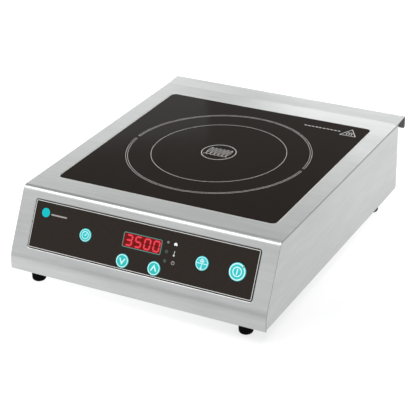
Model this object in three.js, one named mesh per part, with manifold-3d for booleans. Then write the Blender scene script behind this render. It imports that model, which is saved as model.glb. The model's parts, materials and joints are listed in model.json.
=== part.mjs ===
// Countertop induction hob: a folded steel housing with a flush glass top, a sloped control
// panel with five push buttons, and the induction unit, electronics and two fans inside.
// Millimetres, +Z up. The front faces -Y, +X is to the right of a person using the hob, and
// the origin is the middle of the footprint at the level of the worktop it stands on.

import * as THREE from "three";
import { mergeVertices } from "three/addons/utils/BufferGeometryUtils.js";
import Module from "manifold-3d";

const wasm = await Module();
wasm.setup();

// ---- driving dimensions -------------------------------------------------------------------

const WIDTH = 327; // outside width of the cover
const DEPTH = 388; // front face to the back edge of the side panels
const FOLD = 382.5; // front face to the fold where the cover's rear strip begins
const LIP_DEPTH = 26; // width of that strip, which hangs over the back
const LIP_RISE = 1.5; // how much it climbs towards its rear edge
const LIP_DROP = 16.8; // height of the strip's turned-down flange
const LIP_CORNER = 2.5; // radius of that flange's two lower corners
const HEIGHT = 91; // underside of the side panels to the top face of the cover
const FOOT_HEIGHT = 13.5; // worktop to the underside of the side panels
const STRIP_HEIGHT = 17.5; // vertical front strip, up to the bend of the control face
const SLOPE_RUN = 38.6; // how far back the control face leans by the time it meets the top
const LOWER_BEND = 42; // radius of the bend between the front strip and the control face
const UPPER_BEND = 8; // radius of the bend between the control face and the top

const SHEET = 1.2; // thickness of the steel sheet
const GAP = 0.3; // clearance between neighbouring pieces
const SEAM_TOP = 1.2; // open seam between the cover's underside and the side panels
const SEAM_FRONT = 0.6; // the same seam behind the front strip and the control face
const SIDE_INSET = 0.7; // how far the side panels sit inside the cover's edge
const FLANGE = 12; // width of the inward flanges of the folded sheets
const FRONT_FLANGE = 18; // the same under the front strip, where the front feet are screwed on

const GLASS_SIZE = 280;
const GLASS_THICKNESS = 4;
const GLASS_RADIUS = 6.5;
const GLASS_FROM_FRONT = 213.3; // front face to the centre of the glass and of the coil
const GLASS_JOINT = 0.6; // gap between the glass edge and the steel around it
const LEDGE_WIDTH = 10; // how far the ledge under the glass reaches in below it
const SEAL_ROOM = 1.6; // height left for the seal between that ledge and the glass

const PANEL_WIDTH = 287; // recess for the control panel
const PANEL_HEIGHT = 57;
const PANEL_RADIUS = 3;
const PANEL_RECESS = 2; // depth of the recess below the control face
const PANEL_RAISED = 0.85; // how far the panel sits above the middle of the control face
const OVERLAY_THICKNESS = 1.6;
const BUTTON_RADIUS = 8;
const TIMER_BUTTON_RADIUS = 7.6;
const POWER_BUTTON_RADIUS = 10.2;
const BUTTON_TRAVEL = 0.5;
const BUTTON_PROUD = 0.6; // how far a released button stands above the overlay

const FAN_SIZE = 80;
const FAN_HEIGHT = 25;
const FAN_X = 92; // the two fans stand left and right of the middle
const FAN_Y = 97; // front face to the fan centres

// ---- places worked out from them ----------------------------------------------------------

const FRONT = -(FOLD + LIP_DEPTH) / 2; // y of the front face
const BOTTOM = FOOT_HEIGHT; // z of the housing's underside
const TOP = FOOT_HEIGHT + HEIGHT; // z of the cover's top face
const UNDER_COVER = TOP - SHEET;
const fromFront = (distance) => FRONT + distance;
const GLASS_Y = fromFront(GLASS_FROM_FRONT);
const GLASS_BOTTOM = TOP - GLASS_THICKNESS;
const PLATE_THICKNESS = 1;
const PLATE_TOP = BOTTOM - GAP; // the base plate closes the housing from below
const PLATE_BOTTOM = PLATE_TOP - PLATE_THICKNESS;
const SLOPE_ANGLE = Math.atan2(HEIGHT - STRIP_HEIGHT, SLOPE_RUN); // control face above level

// ---- helpers ------------------------------------------------------------------------------

const point = (x, y) => new THREE.Vector2(x, y);

function solid(geometry) {
  const bare = geometry.clone();
  bare.deleteAttribute("normal");
  bare.deleteAttribute("uv");
  const merged = mergeVertices(bare, 1e-4);
  const vertProperties = new Float32Array(merged.attributes.position.array);
  const triVerts = new Uint32Array(merged.index.array);
  return new wasm.Manifold(new wasm.Mesh({ numProp: 3, vertProperties, triVerts }));
}

function geometryOf(body) {
  const mesh = body.getMesh();
  const geometry = new THREE.BufferGeometry();
  geometry.setAttribute("position", new THREE.BufferAttribute(mesh.vertProperties, 3));
  geometry.setIndex(new THREE.BufferAttribute(mesh.triVerts, 1));
  geometry.computeVertexNormals();
  return geometry;
}

function join(first, ...others) {
  return geometryOf(others.reduce((body, other) => body.add(solid(other)), solid(first)));
}

function cut(first, ...others) {
  return geometryOf(others.reduce((body, other) => body.subtract(solid(other)), solid(first)));
}

// A straight prism of a flat shape, standing on the level z0.
function prism(shape, z0, z1, curveSegments = 2) {
  const settings = { depth: z1 - z0, bevelEnabled: false, curveSegments };
  return new THREE.ExtrudeGeometry(shape, settings).translate(0, 0, z0);
}

// A prism that runs across the housing: the shape's x is the housing's y, its y is z.
function across(shape, x0, x1) {
  const basis = new THREE.Matrix4().makeBasis(
    new THREE.Vector3(0, 1, 0),
    new THREE.Vector3(0, 0, 1),
    new THREE.Vector3(1, 0, 0),
  );
  return prism(shape, x0, x1).applyMatrix4(basis);
}

// A prism that runs front to back: the shape's x is the housing's x, its y is z.
function along(shape, y0, y1) {
  return prism(shape, -y1, -y0).rotateX(Math.PI / 2);
}

function box(x0, x1, y0, y1, z0, z1) {
  const geometry = new THREE.BoxGeometry(x1 - x0, y1 - y0, z1 - z0);
  return geometry.translate((x0 + x1) / 2, (y0 + y1) / 2, (z0 + z1) / 2);
}

function cylinder(radius, z0, z1, x = 0, y = 0, segments = 20) {
  const geometry = new THREE.CylinderGeometry(radius, radius, z1 - z0, segments);
  return geometry.rotateX(Math.PI / 2).translate(x, y, (z0 + z1) / 2);
}

// A turned piece: [radius, z] pairs from the bottom up the outside, closed on the axis or on itself.
function turned(pairs, segments = 20) {
  const profile = pairs.map(([radius, z]) => point(radius, z));
  return new THREE.LatheGeometry(profile, segments).rotateX(Math.PI / 2);
}

// The profile of a turned piece with a hole right through it, closed on itself.
function ringProfile(pairs) {
  return [...pairs, pairs[0]];
}

function roundedRectangle(width, height, radius) {
  const x = width / 2 - radius;
  const y = height / 2 - radius;
  const shape = new THREE.Shape();
  shape.absarc(x, -y, radius, -Math.PI / 2, 0);
  shape.absarc(x, y, radius, 0, Math.PI / 2);
  shape.absarc(-x, y, radius, Math.PI / 2, Math.PI);
  shape.absarc(-x, -y, radius, Math.PI, Math.PI * 1.5);
  shape.closePath();
  return shape;
}

// A slot with round ends, its length along x.
function slotShape(length, width) {
  return roundedRectangle(length, width, width / 2);
}

// The points of the arc that rounds the corner between two straight edges.
function roundCorner(before, corner, after, radius, steps = 5) {
  const arriving = corner.clone().sub(before).normalize();
  const leaving = after.clone().sub(corner).normalize();
  const turn = Math.atan2(arriving.cross(leaving), arriving.dot(leaving));
  if (radius <= 0 || Math.abs(turn) < 1e-6) return [corner];
  const reach = radius * Math.tan(Math.abs(turn) / 2);
  const side = Math.sign(turn);
  const start = corner.clone().addScaledVector(arriving, -reach);
  const centre = point(start.x - side * radius * arriving.y, start.y + side * radius * arriving.x);
  return Array.from({ length: steps + 1 }, (_, i) =>
    start.clone().rotateAround(centre, (turn * i) / steps),
  );
}

// A corner moved to the left of its two edges by d, where the moved edges meet.
function miter(before, corner, after, d) {
  const arriving = corner.clone().sub(before).normalize();
  const leaving = after.clone().sub(corner).normalize();
  const normal1 = point(-arriving.y, arriving.x);
  const normal2 = point(-leaving.y, leaving.x);
  const scale = d / (1 + normal1.dot(normal2));
  return corner.clone().addScaledVector(normal1.add(normal2), scale);
}

// One face of a bent sheet: an open path moved to its left by d, its bends rounded.
function sheetFace(path, radii, d) {
  const last = path.length - 1;
  const moved = path.map((corner, i) => {
    const before = path[i - 1] ?? corner.clone().multiplyScalar(2).sub(path[i + 1]);
    const after = path[i + 1] ?? corner.clone().multiplyScalar(2).sub(path[i - 1]);
    return miter(before, corner, after, d);
  });
  return moved.flatMap((corner, i) => {
    if (i === 0 || i === last) return [corner];
    const leaving = path[i + 1].clone().sub(path[i]);
    const left = path[i].clone().sub(path[i - 1]).cross(leaving) > 0;
    return roundCorner(moved[i - 1], corner, moved[i + 1], radii[i - 1] + (left ? -d : d));
  });
}

// The section of a bent sheet. The path is the outer face, and the sheet lies to its right.
function bentSheet(path, radii, thickness) {
  const outer = sheetFace(path, radii, 0);
  const inner = sheetFace(path, radii, -thickness);
  return new THREE.Shape([...outer, ...inner.reverse()]);
}

// A closed outline, run clockwise, with each edge moved inwards and each corner rounded.
function outline(corners, insets, radii) {
  const count = corners.length;
  const edge = (i) => {
    const a = corners[i % count];
    const b = corners[(i + 1) % count];
    const direction = b.clone().sub(a).normalize();
    const inward = point(direction.y, -direction.x);
    return { origin: a.clone().addScaledVector(inward, insets[i % count]), direction };
  };
  const moved = corners.map((_, i) => {
    const a = edge(i + count - 1);
    const b = edge(i);
    const t = b.origin.clone().sub(a.origin).cross(b.direction) / a.direction.cross(b.direction);
    return a.origin.clone().addScaledVector(a.direction, t);
  });
  const points = moved.flatMap((corner, i) =>
    roundCorner(moved[(i + count - 1) % count], corner, moved[(i + 1) % count], radii[i]),
  );
  return new THREE.Shape(points);
}

const finishes = {
  steel: { color: 0xc6c8c6, roughness: 0.34, metalness: 0.95 },
  plainSteel: { color: 0xa9adad, roughness: 0.45, metalness: 0.9 },
  glass: { color: 0x322c29, roughness: 0.08, metalness: 0 },
  overlay: { color: 0x322c29, roughness: 0.25, metalness: 0 },
  displayLens: { color: 0x2a0f10, roughness: 0.15, metalness: 0 },
  digits: { color: 0x3a1414, roughness: 0.5, metalness: 0 },
  teal: { color: 0x2bc4c0, roughness: 0.35, metalness: 0 },
  rubber: { color: 0x1a1a1a, roughness: 0.85, metalness: 0 },
  silicone: { color: 0x2c2c2c, roughness: 0.7, metalness: 0 },
  copper: { color: 0xb0653a, roughness: 0.4, metalness: 0.9 },
  ferrite: { color: 0x3c3d40, roughness: 0.6, metalness: 0.2 },
  mica: { color: 0xd8d2bf, roughness: 0.7, metalness: 0 },
  carrier: { color: 0x55504a, roughness: 0.6, metalness: 0 },
  circuitBoard: { color: 0x1f6b3c, roughness: 0.5, metalness: 0 },
  aluminium: { color: 0xb8bcc0, roughness: 0.4, metalness: 0.9 },
  blackPlastic: { color: 0x202224, roughness: 0.5, metalness: 0 },
  capacitor: { color: 0x35557c, roughness: 0.5, metalness: 0 },
  brass: { color: 0xb99a4e, roughness: 0.4, metalness: 0.9 },
  ceramic: { color: 0xe6e1d6, roughness: 0.6, metalness: 0 },
  ribbon: { color: 0x9a9ea3, roughness: 0.6, metalness: 0 },
};

const hob = new THREE.Group();

function piece(name, geometry, finish, parent = hob) {
  const mesh = new THREE.Mesh(geometry, new THREE.MeshStandardMaterial(finishes[finish]));
  mesh.name = name;
  parent.add(mesh);
  return mesh;
}

// ---- frame of the control face: x to the right, y up the slope, z out of the face ----------

const panel = new THREE.Group();
panel.position.set(0, fromFront(SLOPE_RUN / 2), BOTTOM + (HEIGHT + STRIP_HEIGHT) / 2);
panel.rotation.x = SLOPE_ANGLE;
panel.translateY(PANEL_RAISED);
panel.updateMatrix();
hob.add(panel);

const onPanel = (geometry) => geometry.applyMatrix4(panel.matrix);

const OVERLAY_BOTTOM = -PANEL_RECESS + 0.2;
const OVERLAY_TOP = OVERLAY_BOTTOM + OVERLAY_THICKNESS;
const BOARD_TOP = -10; // component side of the control board
const BOARD_THICKNESS = 1.6;
const PANEL_WINDOW = { width: 268, height: 46 }; // opening in the steel behind the overlay
const COLLAR = 0.9; // how far a button's collar reaches past its cap
const STUD = { x: 138.5, y: 17, radius: 2 }; // weld studs that carry the control board
const MIDDLE = 1.2; // the display and the arrow buttons are centred here

const buttons = [
  { name: "timer_button", x: -71.3, y: 0, radius: TIMER_BUTTON_RADIUS },
  { name: "down_button", x: MIDDLE - 20.2, y: -18.3, radius: BUTTON_RADIUS },
  { name: "up_button", x: MIDDLE + 20.2, y: -18.3, radius: BUTTON_RADIUS },
  { name: "mode_button", x: 77.5, y: -0.5, radius: BUTTON_RADIUS },
  { name: "power_button", x: 120.4, y: -0.5, radius: POWER_BUTTON_RADIUS },
];
const display = { x: MIDDLE, y: 6, width: 49, height: 17, radius: 1.6 };
const lamps = [13.6, 3.1, -7.4].map((y) => ({ x: 32.6, y, radius: 2 }));

// ---- cover and its fastening points ---------------------------------------------------------

const FOOT = { radius: 8.4, edge: 3, frontX: 134, front: 12.3, rearX: 148.6, rear: 340 };
const footPlaces = [
  ["front_left", -FOOT.frontX, fromFront(FOOT.front)],
  ["front_right", FOOT.frontX, fromFront(FOOT.front)],
  ["rear_left", -FOOT.rearX, fromFront(FOOT.rear)],
  ["rear_right", FOOT.rearX, fromFront(FOOT.rear)],
];
const FOOT_SCREW_RADIUS = 1.8;
const FOOT_SCREW_HOLE = 2.2;

function coverSheet() {
  const path = [
    point(fromFront(FRONT_FLANGE), BOTTOM),
    point(FRONT, BOTTOM),
    point(FRONT, BOTTOM + STRIP_HEIGHT),
    point(fromFront(SLOPE_RUN), TOP),
    point(fromFront(FOLD), TOP),
    point(fromFront(FOLD + LIP_DEPTH), TOP + LIP_RISE),
    point(fromFront(FOLD + LIP_DEPTH), TOP + LIP_RISE - LIP_DROP),
  ];
  const radii = [1.6, LOWER_BEND, UPPER_BEND, 3, 1.6];
  const sheet = across(bentSheet(path, radii, SHEET), -WIDTH / 2, WIDTH / 2);
  // The bottom flange stops short of the side panels' own flanges.
  const flangeEnd = WIDTH / 2 - SIDE_INSET - FLANGE - GAP;
  const notches = [-1, 1].map((side) => {
    const x = side * (flangeEnd + WIDTH / 2 + 1) * 0.5;
    const half = (WIDTH / 2 + 1 - flangeEnd) / 2;
    const back = fromFront(FRONT_FLANGE + 1);
    return box(x - half, x + half, fromFront(SHEET + 0.4), back, BOTTOM - 1, BOTTOM + 3);
  });

  // Pressed well that holds the glass.
  const wellBottom = GLASS_BOTTOM - SEAL_ROOM;
  const opening = GLASS_SIZE + 2 * GLASS_JOINT;
  const wellOuter = opening + 2 * SHEET;
  const ledgeOpening = GLASS_SIZE - 2 * LEDGE_WIDTH;
  const well = prism(
    roundedRectangle(wellOuter, wellOuter, GLASS_RADIUS + GLASS_JOINT + SHEET),
    wellBottom - SHEET,
    TOP - SHEET / 2,
  );
  const recess = prism(
    roundedRectangle(opening, opening, GLASS_RADIUS + GLASS_JOINT),
    wellBottom,
    TOP + 1,
    4,
  );
  const glassHole = prism(
    roundedRectangle(ledgeOpening, ledgeOpening, 6),
    wellBottom - SHEET - 1,
    TOP,
  );

  // Pressed recess for the control panel, with the window and the studs behind it.
  const trayBottom = -PANEL_RECESS - SHEET;
  const tray = prism(
    roundedRectangle(PANEL_WIDTH + 2 * SHEET, PANEL_HEIGHT + 2 * SHEET, PANEL_RADIUS + SHEET),
    trayBottom,
    -SHEET / 2,
  );
  const trayRecess = prism(
    roundedRectangle(PANEL_WIDTH, PANEL_HEIGHT, PANEL_RADIUS),
    -PANEL_RECESS,
    2,
  );
  const trayWindow = prism(
    roundedRectangle(PANEL_WINDOW.width, PANEL_WINDOW.height, 2),
    trayBottom - 1,
    0,
  );
  const collarRooms = buttons.map(({ x, y, radius }) =>
    cylinder(radius + COLLAR + GAP, trayBottom - 1, 0, x, y, 16),
  );
  const studs = [-1, 1].flatMap((sx) =>
    [-1, 1].map((sy) =>
      cylinder(STUD.radius, BOARD_TOP + GAP, -PANEL_RECESS - 0.5, sx * STUD.x, sy * STUD.y, 10),
    ),
  );
  const screwHoles = footPlaces
    .slice(0, 2)
    .map(([, x, y]) => cylinder(FOOT_SCREW_HOLE, BOTTOM - 1, BOTTOM + 3, x, y, 12));

  // The square corners that are taken off the flange at the rear edge.
  const flangeBottom = TOP + LIP_RISE - LIP_DROP;
  const lipY = [fromFront(FOLD + LIP_DEPTH) - SHEET - 1, fromFront(FOLD + LIP_DEPTH) + 1];
  const lipCorners = [-1, 1].map((side) => {
    const x = side * (WIDTH / 2 - LIP_CORNER);
    const end = side * (WIDTH / 2 + 1);
    const z = flangeBottom + LIP_CORNER;
    const corner = box(Math.min(x, end), Math.max(x, end), ...lipY, flangeBottom - 1, z);
    const round = cylinder(LIP_CORNER, lipY[0] - 1, lipY[1] + 1, 0, 0, 24)
      .rotateX(-Math.PI / 2)
      .translate(x, 0, z);
    return cut(corner, round);
  });

  for (const geometry of [well, recess, glassHole]) geometry.translate(0, GLASS_Y, 0);
  for (const geometry of [tray, trayRecess, trayWindow, ...collarRooms, ...studs]) onPanel(geometry);
  const pressed = join(sheet, well, tray);
  const trayHoles = [trayRecess, trayWindow, ...collarRooms];
  const holes = [recess, glassHole, ...trayHoles, ...notches, ...screwHoles, ...lipCorners];
  return join(cut(pressed, ...holes), ...studs);
}
piece("cover_sheet", coverSheet(), "steel");

// ---- side panels: folded pans with flanges all round ----------------------------------------

const bodyCorners = [
  point(FRONT, BOTTOM),
  point(FRONT, BOTTOM + STRIP_HEIGHT),
  point(fromFront(SLOPE_RUN), TOP),
  point(fromFront(DEPTH), TOP),
  point(fromFront(DEPTH), BOTTOM),
];
const sideInsets = [SHEET + SEAM_FRONT, SHEET + SEAM_FRONT, SHEET + SEAM_TOP, 0, 0];
const sideRadii = [2.5, LOWER_BEND, UPPER_BEND, 2.5, 4.5].map((radius, i) =>
  i === 1 || i === 2 ? radius - SHEET - SEAM_FRONT : radius,
);
const SIDE_OUTER = WIDTH / 2 - SIDE_INSET;
const SIDE_INNER = SIDE_OUTER - SHEET;
const BASE_SCREW = { x: 154.6, places: [62, 322], hole: 1.9, shank: 1.5, head: 3.1 };
const REAR_SCREW_Z = BOTTOM + 45;
const REAR_SCREW_X = SIDE_OUTER - FLANGE / 2 - 0.6;

function sidePanel(side) {
  const pan = across(
    outline(bodyCorners, sideInsets, sideRadii),
    SIDE_OUTER - FLANGE,
    SIDE_OUTER,
  );
  const insideInsets = sideInsets.map((inset) => inset + SHEET);
  const insideRadii = sideRadii.map((radius) => radius - SHEET);
  const inside = across(
    outline(bodyCorners, insideInsets, insideRadii),
    SIDE_OUTER - FLANGE - 1,
    SIDE_INNER,
  );
  const baseHoles = BASE_SCREW.places.map((y) =>
    cylinder(BASE_SCREW.hole, BOTTOM - 1, BOTTOM + 3, BASE_SCREW.x, fromFront(y), 10),
  );
  const rearHole = cylinder(BASE_SCREW.hole, -3, 3, 0, 0, 10)
    .rotateX(Math.PI / 2)
    .translate(REAR_SCREW_X, fromFront(DEPTH), REAR_SCREW_Z);
  const geometry = cut(pan, inside, ...baseHoles, rearHole);
  if (side < 0) {
    geometry.applyMatrix4(new THREE.Matrix4().makeScale(-1, 1, 1));
    geometry.index.array.reverse();
    geometry.computeVertexNormals();
  }
  return geometry;
}
piece("side_panel_left", sidePanel(-1), "steel");
piece("side_panel_right", sidePanel(1), "steel");

// ---- rear panel: outlet slots and the hole of the mains inlet -------------------------------

const REAR_OUTER_Y = fromFront(DEPTH) - SHEET - GAP;
const REAR_INNER_Y = REAR_OUTER_Y - SHEET;
const REAR_BOTTOM = BOTTOM + SHEET + GAP;
const REAR_TOP = UNDER_COVER - SEAM_TOP - SHEET - GAP;
const REAR_HALF = SIDE_INNER - GAP;
const GLAND = { x: 104, z: BOTTOM + 26, bore: 5.2, thread: 7.5, hole: 7.9 };
const REAR_SLOT = { length: 18, width: 4.4, firstX: -118, pitch: 13.2, columns: 12 };
const REAR_SLOT_ROWS = [REAR_TOP - 20, REAR_TOP - 45];

function rearPanel() {
  const path = [
    point(REAR_OUTER_Y - FLANGE, REAR_TOP),
    point(REAR_OUTER_Y, REAR_TOP),
    point(REAR_OUTER_Y, REAR_BOTTOM),
    point(REAR_OUTER_Y - FLANGE, REAR_BOTTOM),
  ];
  const sheet = across(bentSheet(path, [1.8, 4], SHEET), -REAR_HALF, REAR_HALF);
  const slots = [];
  for (let column = 0; column < REAR_SLOT.columns; column += 1) {
    const x = REAR_SLOT.firstX + column * REAR_SLOT.pitch;
    for (const z of REAR_SLOT_ROWS) {
      slots.push(
        prism(slotShape(REAR_SLOT.length, REAR_SLOT.width), -3, 3, 1)
          .rotateZ(Math.PI / 2)
          .rotateX(Math.PI / 2)
          .translate(x, REAR_OUTER_Y, z),
      );
    }
  }
  const glandHole = cylinder(GLAND.hole, -3, 3, 0, 0, 20)
    .rotateX(Math.PI / 2)
    .translate(GLAND.x, REAR_OUTER_Y, GLAND.z);
  const screwHoles = [-1, 1].map((side) =>
    cylinder(BASE_SCREW.hole, -3, 3, 0, 0, 10)
      .rotateX(Math.PI / 2)
      .translate(side * REAR_SCREW_X, REAR_OUTER_Y, REAR_SCREW_Z),
  );
  return cut(sheet, ...slots, glandHole, ...screwHoles);
}
piece("rear_panel", rearPanel(), "steel");

// ---- base plate: intake grilles under the fans, pressed pillars for the power board ---------

const BOARD = { width: 172, depth: 176, y: 256, z: BOTTOM + 9 }; // power board, z of its underside
const PILLAR = { x: BOARD.width / 2 - 7, y: BOARD.depth / 2 - 7, radius: 3.6 };
const pillarPlaces = [-1, 1].flatMap((sx) =>
  [-1, 1].map((sy) => [sx * PILLAR.x, fromFront(BOARD.y) + sy * PILLAR.y]),
);

const GRILLE = { radius: 36, rows: 4, pitch: 8, slot: 4.6 }; // rows on each side of the middle one
const PLATE_INSET = 4.5; // how far the base plate's edges stay inside the housing's

function basePlate() {
  const front = fromFront(PLATE_INSET);
  const rear = fromFront(DEPTH - PLATE_INSET);
  const halfWidth = WIDTH / 2 - PLATE_INSET;
  const plate = prism(
    roundedRectangle(2 * halfWidth, rear - front, 4),
    PLATE_BOTTOM,
    PLATE_TOP,
  ).translate(0, (front + rear) / 2, 0);
  const pillars = pillarPlaces.map(([x, y]) =>
    cylinder(PILLAR.radius, PLATE_TOP - 0.5, BOARD.z - 0.1, x, y, 8),
  );
  const grille = [];
  for (const side of [-1, 1]) {
    for (let row = -GRILLE.rows; row <= GRILLE.rows; row += 1) {
      const offset = row * GRILLE.pitch;
      const length = 2 * Math.sqrt(GRILLE.radius ** 2 - offset ** 2);
      const slot = prism(slotShape(length, GRILLE.slot), PLATE_BOTTOM - 1, PLATE_TOP + 1, 3);
      grille.push(slot.translate(side * FAN_X, fromFront(FAN_Y) + offset, 0));
    }
  }
  const holes = footPlaces.map(([, x, y]) =>
    cylinder(FOOT_SCREW_HOLE, PLATE_BOTTOM - 1, PLATE_TOP + 1, x, y, 8),
  );
  for (const side of [-1, 1]) {
    for (const y of BASE_SCREW.places) {
      const place = [side * BASE_SCREW.x, fromFront(y)];
      holes.push(cylinder(BASE_SCREW.hole, PLATE_BOTTOM - 1, PLATE_TOP + 1, ...place, 8));
    }
  }
  return cut(join(plate, ...pillars), ...grille, ...holes);
}
piece("base_plate", basePlate(), "plainSteel");

// ---- feet and screws --------------------------------------------------------------------------

const FOOT_BORE = { radius: 4.4, depth: 8 }; // room for the head of the foot's screw

function foot() {
  const top = PLATE_BOTTOM - 0.1;
  const { radius, edge } = FOOT;
  const rim = [0, 1, 2].map((i) => {
    const angle = -Math.PI / 2 + (i * Math.PI) / 4;
    return [radius - edge + edge * Math.cos(angle), edge + edge * Math.sin(angle)];
  });
  return turned(
    ringProfile([
      [FOOT_BORE.radius, 0],
      ...rim,
      [FOOT.radius, top],
      [FOOT_SCREW_HOLE, top],
      [FOOT_SCREW_HOLE, FOOT_BORE.depth],
      [FOOT_BORE.radius, FOOT_BORE.depth],
    ]),
    18,
  );
}

// A pan-head screw that points up, its head under the level seat.
function screw(head, shank, seat, tip, headHeight = 1.9) {
  return turned(
    [
      [0, seat - headHeight],
      [head * 0.72, seat - headHeight],
      [head, seat - headHeight * 0.45],
      [head, seat],
      [shank, seat],
      [shank, tip],
      [0, tip],
    ],
    8,
  );
}

for (const [place, x, y] of footPlaces) {
  piece("foot_" + place, foot(), "rubber").position.set(x, y, 0);
  const fixing = screw(3.8, FOOT_SCREW_RADIUS, FOOT_BORE.depth - 0.1, BOTTOM + 5);
  piece("foot_screw_" + place, fixing, "plainSteel").position.set(x, y, 0);
}
for (const [name, side] of [["left", -1], ["right", 1]]) {
  for (const [end, distance] of [["front", BASE_SCREW.places[0]], ["rear", BASE_SCREW.places[1]]]) {
    const fixing = screw(BASE_SCREW.head, BASE_SCREW.shank, PLATE_BOTTOM - 0.05, BOTTOM + 4);
    const mesh = piece("base_screw_" + end + "_" + name, fixing, "plainSteel");
    mesh.position.set(side * BASE_SCREW.x, fromFront(distance), 0);
  }
  const fixing = screw(BASE_SCREW.head, BASE_SCREW.shank, 0, 5).rotateX(Math.PI / 2);
  const mesh = piece("rear_screw_" + name, fixing, "plainSteel");
  mesh.position.set(side * REAR_SCREW_X, fromFront(DEPTH) + 0.05, REAR_SCREW_Z);
}

// ---- cable gland of the mains lead ------------------------------------------------------------

function gland() {
  const flange = turned(
    ringProfile([
      [GLAND.bore, -13],
      [GLAND.thread, -13],
      [GLAND.thread, 0],
      [12, 0],
      [12, 3],
      [10.4, 4],
      [9.8, 12],
      [8.2, 15],
      [GLAND.bore, 15],
    ]),
    16,
  );
  return flange.rotateX(-Math.PI / 2);
}
const glandY = REAR_OUTER_Y + 0.2;
piece("cable_gland", gland(), "blackPlastic").position.set(GLAND.x, glandY, GLAND.z);

function glandNut() {
  const hexagon = cylinder(11.5, 0, 5, 0, 0, 6);
  return cut(hexagon, cylinder(GLAND.thread + GAP, -1, 6, 0, 0, 20)).rotateX(Math.PI / 2);
}
piece("gland_nut", glandNut(), "blackPlastic").position.set(GLAND.x, REAR_INNER_Y - 0.2, GLAND.z);

// ---- glass, its seal and the induction unit ---------------------------------------------------

const glassUnit = new THREE.Group();
glassUnit.position.set(0, GLASS_Y, 0);
hob.add(glassUnit);

const glassPlate = prism(
  roundedRectangle(GLASS_SIZE, GLASS_SIZE, GLASS_RADIUS),
  GLASS_BOTTOM,
  TOP,
  4,
);
piece("glass_plate", glassPlate, "glass", glassUnit);

const sealOuter = roundedRectangle(GLASS_SIZE - 1, GLASS_SIZE - 1, GLASS_RADIUS);
sealOuter.holes.push(roundedRectangle(GLASS_SIZE - 16, GLASS_SIZE - 16, 6));
const glassSeal = prism(sealOuter, GLASS_BOTTOM - SEAL_ROOM + 0.2, GLASS_BOTTOM - 0.2);
piece("glass_seal", glassSeal, "silicone", glassUnit);

const INSULATION_TOP = GLASS_BOTTOM - 0.3;
const INSULATION_THICKNESS = 0.6;
const COIL_TOP = INSULATION_TOP - INSULATION_THICKNESS - GAP;
const COIL_HEIGHT = 5;
const CARRIER_TOP = COIL_TOP - COIL_HEIGHT - GAP;
const CARRIER_THICKNESS = 3;
const CARRIER_BOTTOM = CARRIER_TOP - CARRIER_THICKNESS;
const CARRIER_RADIUS = 108;
const SENSOR_RADIUS = 7;
const INSULATION_RADIUS = 106;
const WINDING = { turns: 9, innerRadius: 22, outerRadius: 98, halfWidth: 3.7, stepsPerTurn: 12 };

const insulation = turned(
  ringProfile([
    [SENSOR_RADIUS + 3, INSULATION_TOP - INSULATION_THICKNESS],
    [INSULATION_RADIUS, INSULATION_TOP - INSULATION_THICKNESS],
    [INSULATION_RADIUS, INSULATION_TOP],
    [SENSOR_RADIUS + 3, INSULATION_TOP],
  ]),
  32,
);
piece("insulation_sheet", insulation, "mica", glassUnit);

class FlatSpiral extends THREE.Curve {
  constructor(innerRadius, outerRadius, turns) {
    super();
    Object.assign(this, { innerRadius, outerRadius, turns });
  }
  getPoint(t, target = new THREE.Vector3()) {
    const radius = this.innerRadius + (this.outerRadius - this.innerRadius) * t;
    const angle = Math.PI * 2 * this.turns * t;
    return target.set(radius * Math.cos(angle), radius * Math.sin(angle), 0);
  }
}

function coilWinding() {
  const { turns, innerRadius, outerRadius, halfWidth } = WINDING;
  const section = new THREE.Shape([
    point(-COIL_HEIGHT / 2, -halfWidth),
    point(COIL_HEIGHT / 2, -halfWidth),
    point(COIL_HEIGHT / 2, halfWidth),
    point(-COIL_HEIGHT / 2, halfWidth),
  ]);
  const extrudePath = new FlatSpiral(innerRadius, outerRadius, turns);
  const steps = turns * WINDING.stepsPerTurn;
  const winding = new THREE.ExtrudeGeometry(section, { steps, extrudePath });
  winding.computeBoundingBox();
  const { min, max } = winding.boundingBox;
  return winding.translate(0, 0, COIL_TOP - COIL_HEIGHT / 2 - (min.z + max.z) / 2);
}
piece("induction_coil", coilWinding(), "copper", glassUnit);

const LEG = { x: 97, y: 38, radius: 5 };

function coilCarrier() {
  const disc = cylinder(CARRIER_RADIUS, CARRIER_BOTTOM, CARRIER_TOP, 0, 0, 32);
  const legs = [-1, 1].flatMap((sx) =>
    [-1, 1].map((sy) =>
      cylinder(LEG.radius, PLATE_TOP + 0.1, CARRIER_BOTTOM + 1, sx * LEG.x, sy * LEG.y, 8),
    ),
  );
  const centreHole = cylinder(SENSOR_RADIUS + 3.3, CARRIER_BOTTOM - 1, CARRIER_TOP + 1);
  const windows = Array.from({ length: 6 }, (_, i) =>
    box(34, 88, -7, 7, CARRIER_BOTTOM - 1, CARRIER_TOP + 1).rotateZ(
      ((i + 0.5) * Math.PI) / 3,
    ),
  );
  return cut(join(disc, ...legs), centreHole, ...windows);
}
piece("coil_carrier", coilCarrier(), "carrier", glassUnit);

for (let i = 0; i < 6; i += 1) {
  const bar = box(30, 92, -6, 6, CARRIER_BOTTOM - GAP - 5, CARRIER_BOTTOM - GAP);
  piece("ferrite_bar_" + (i + 1), bar, "ferrite", glassUnit).rotation.z = (i * Math.PI) / 3;
}

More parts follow.
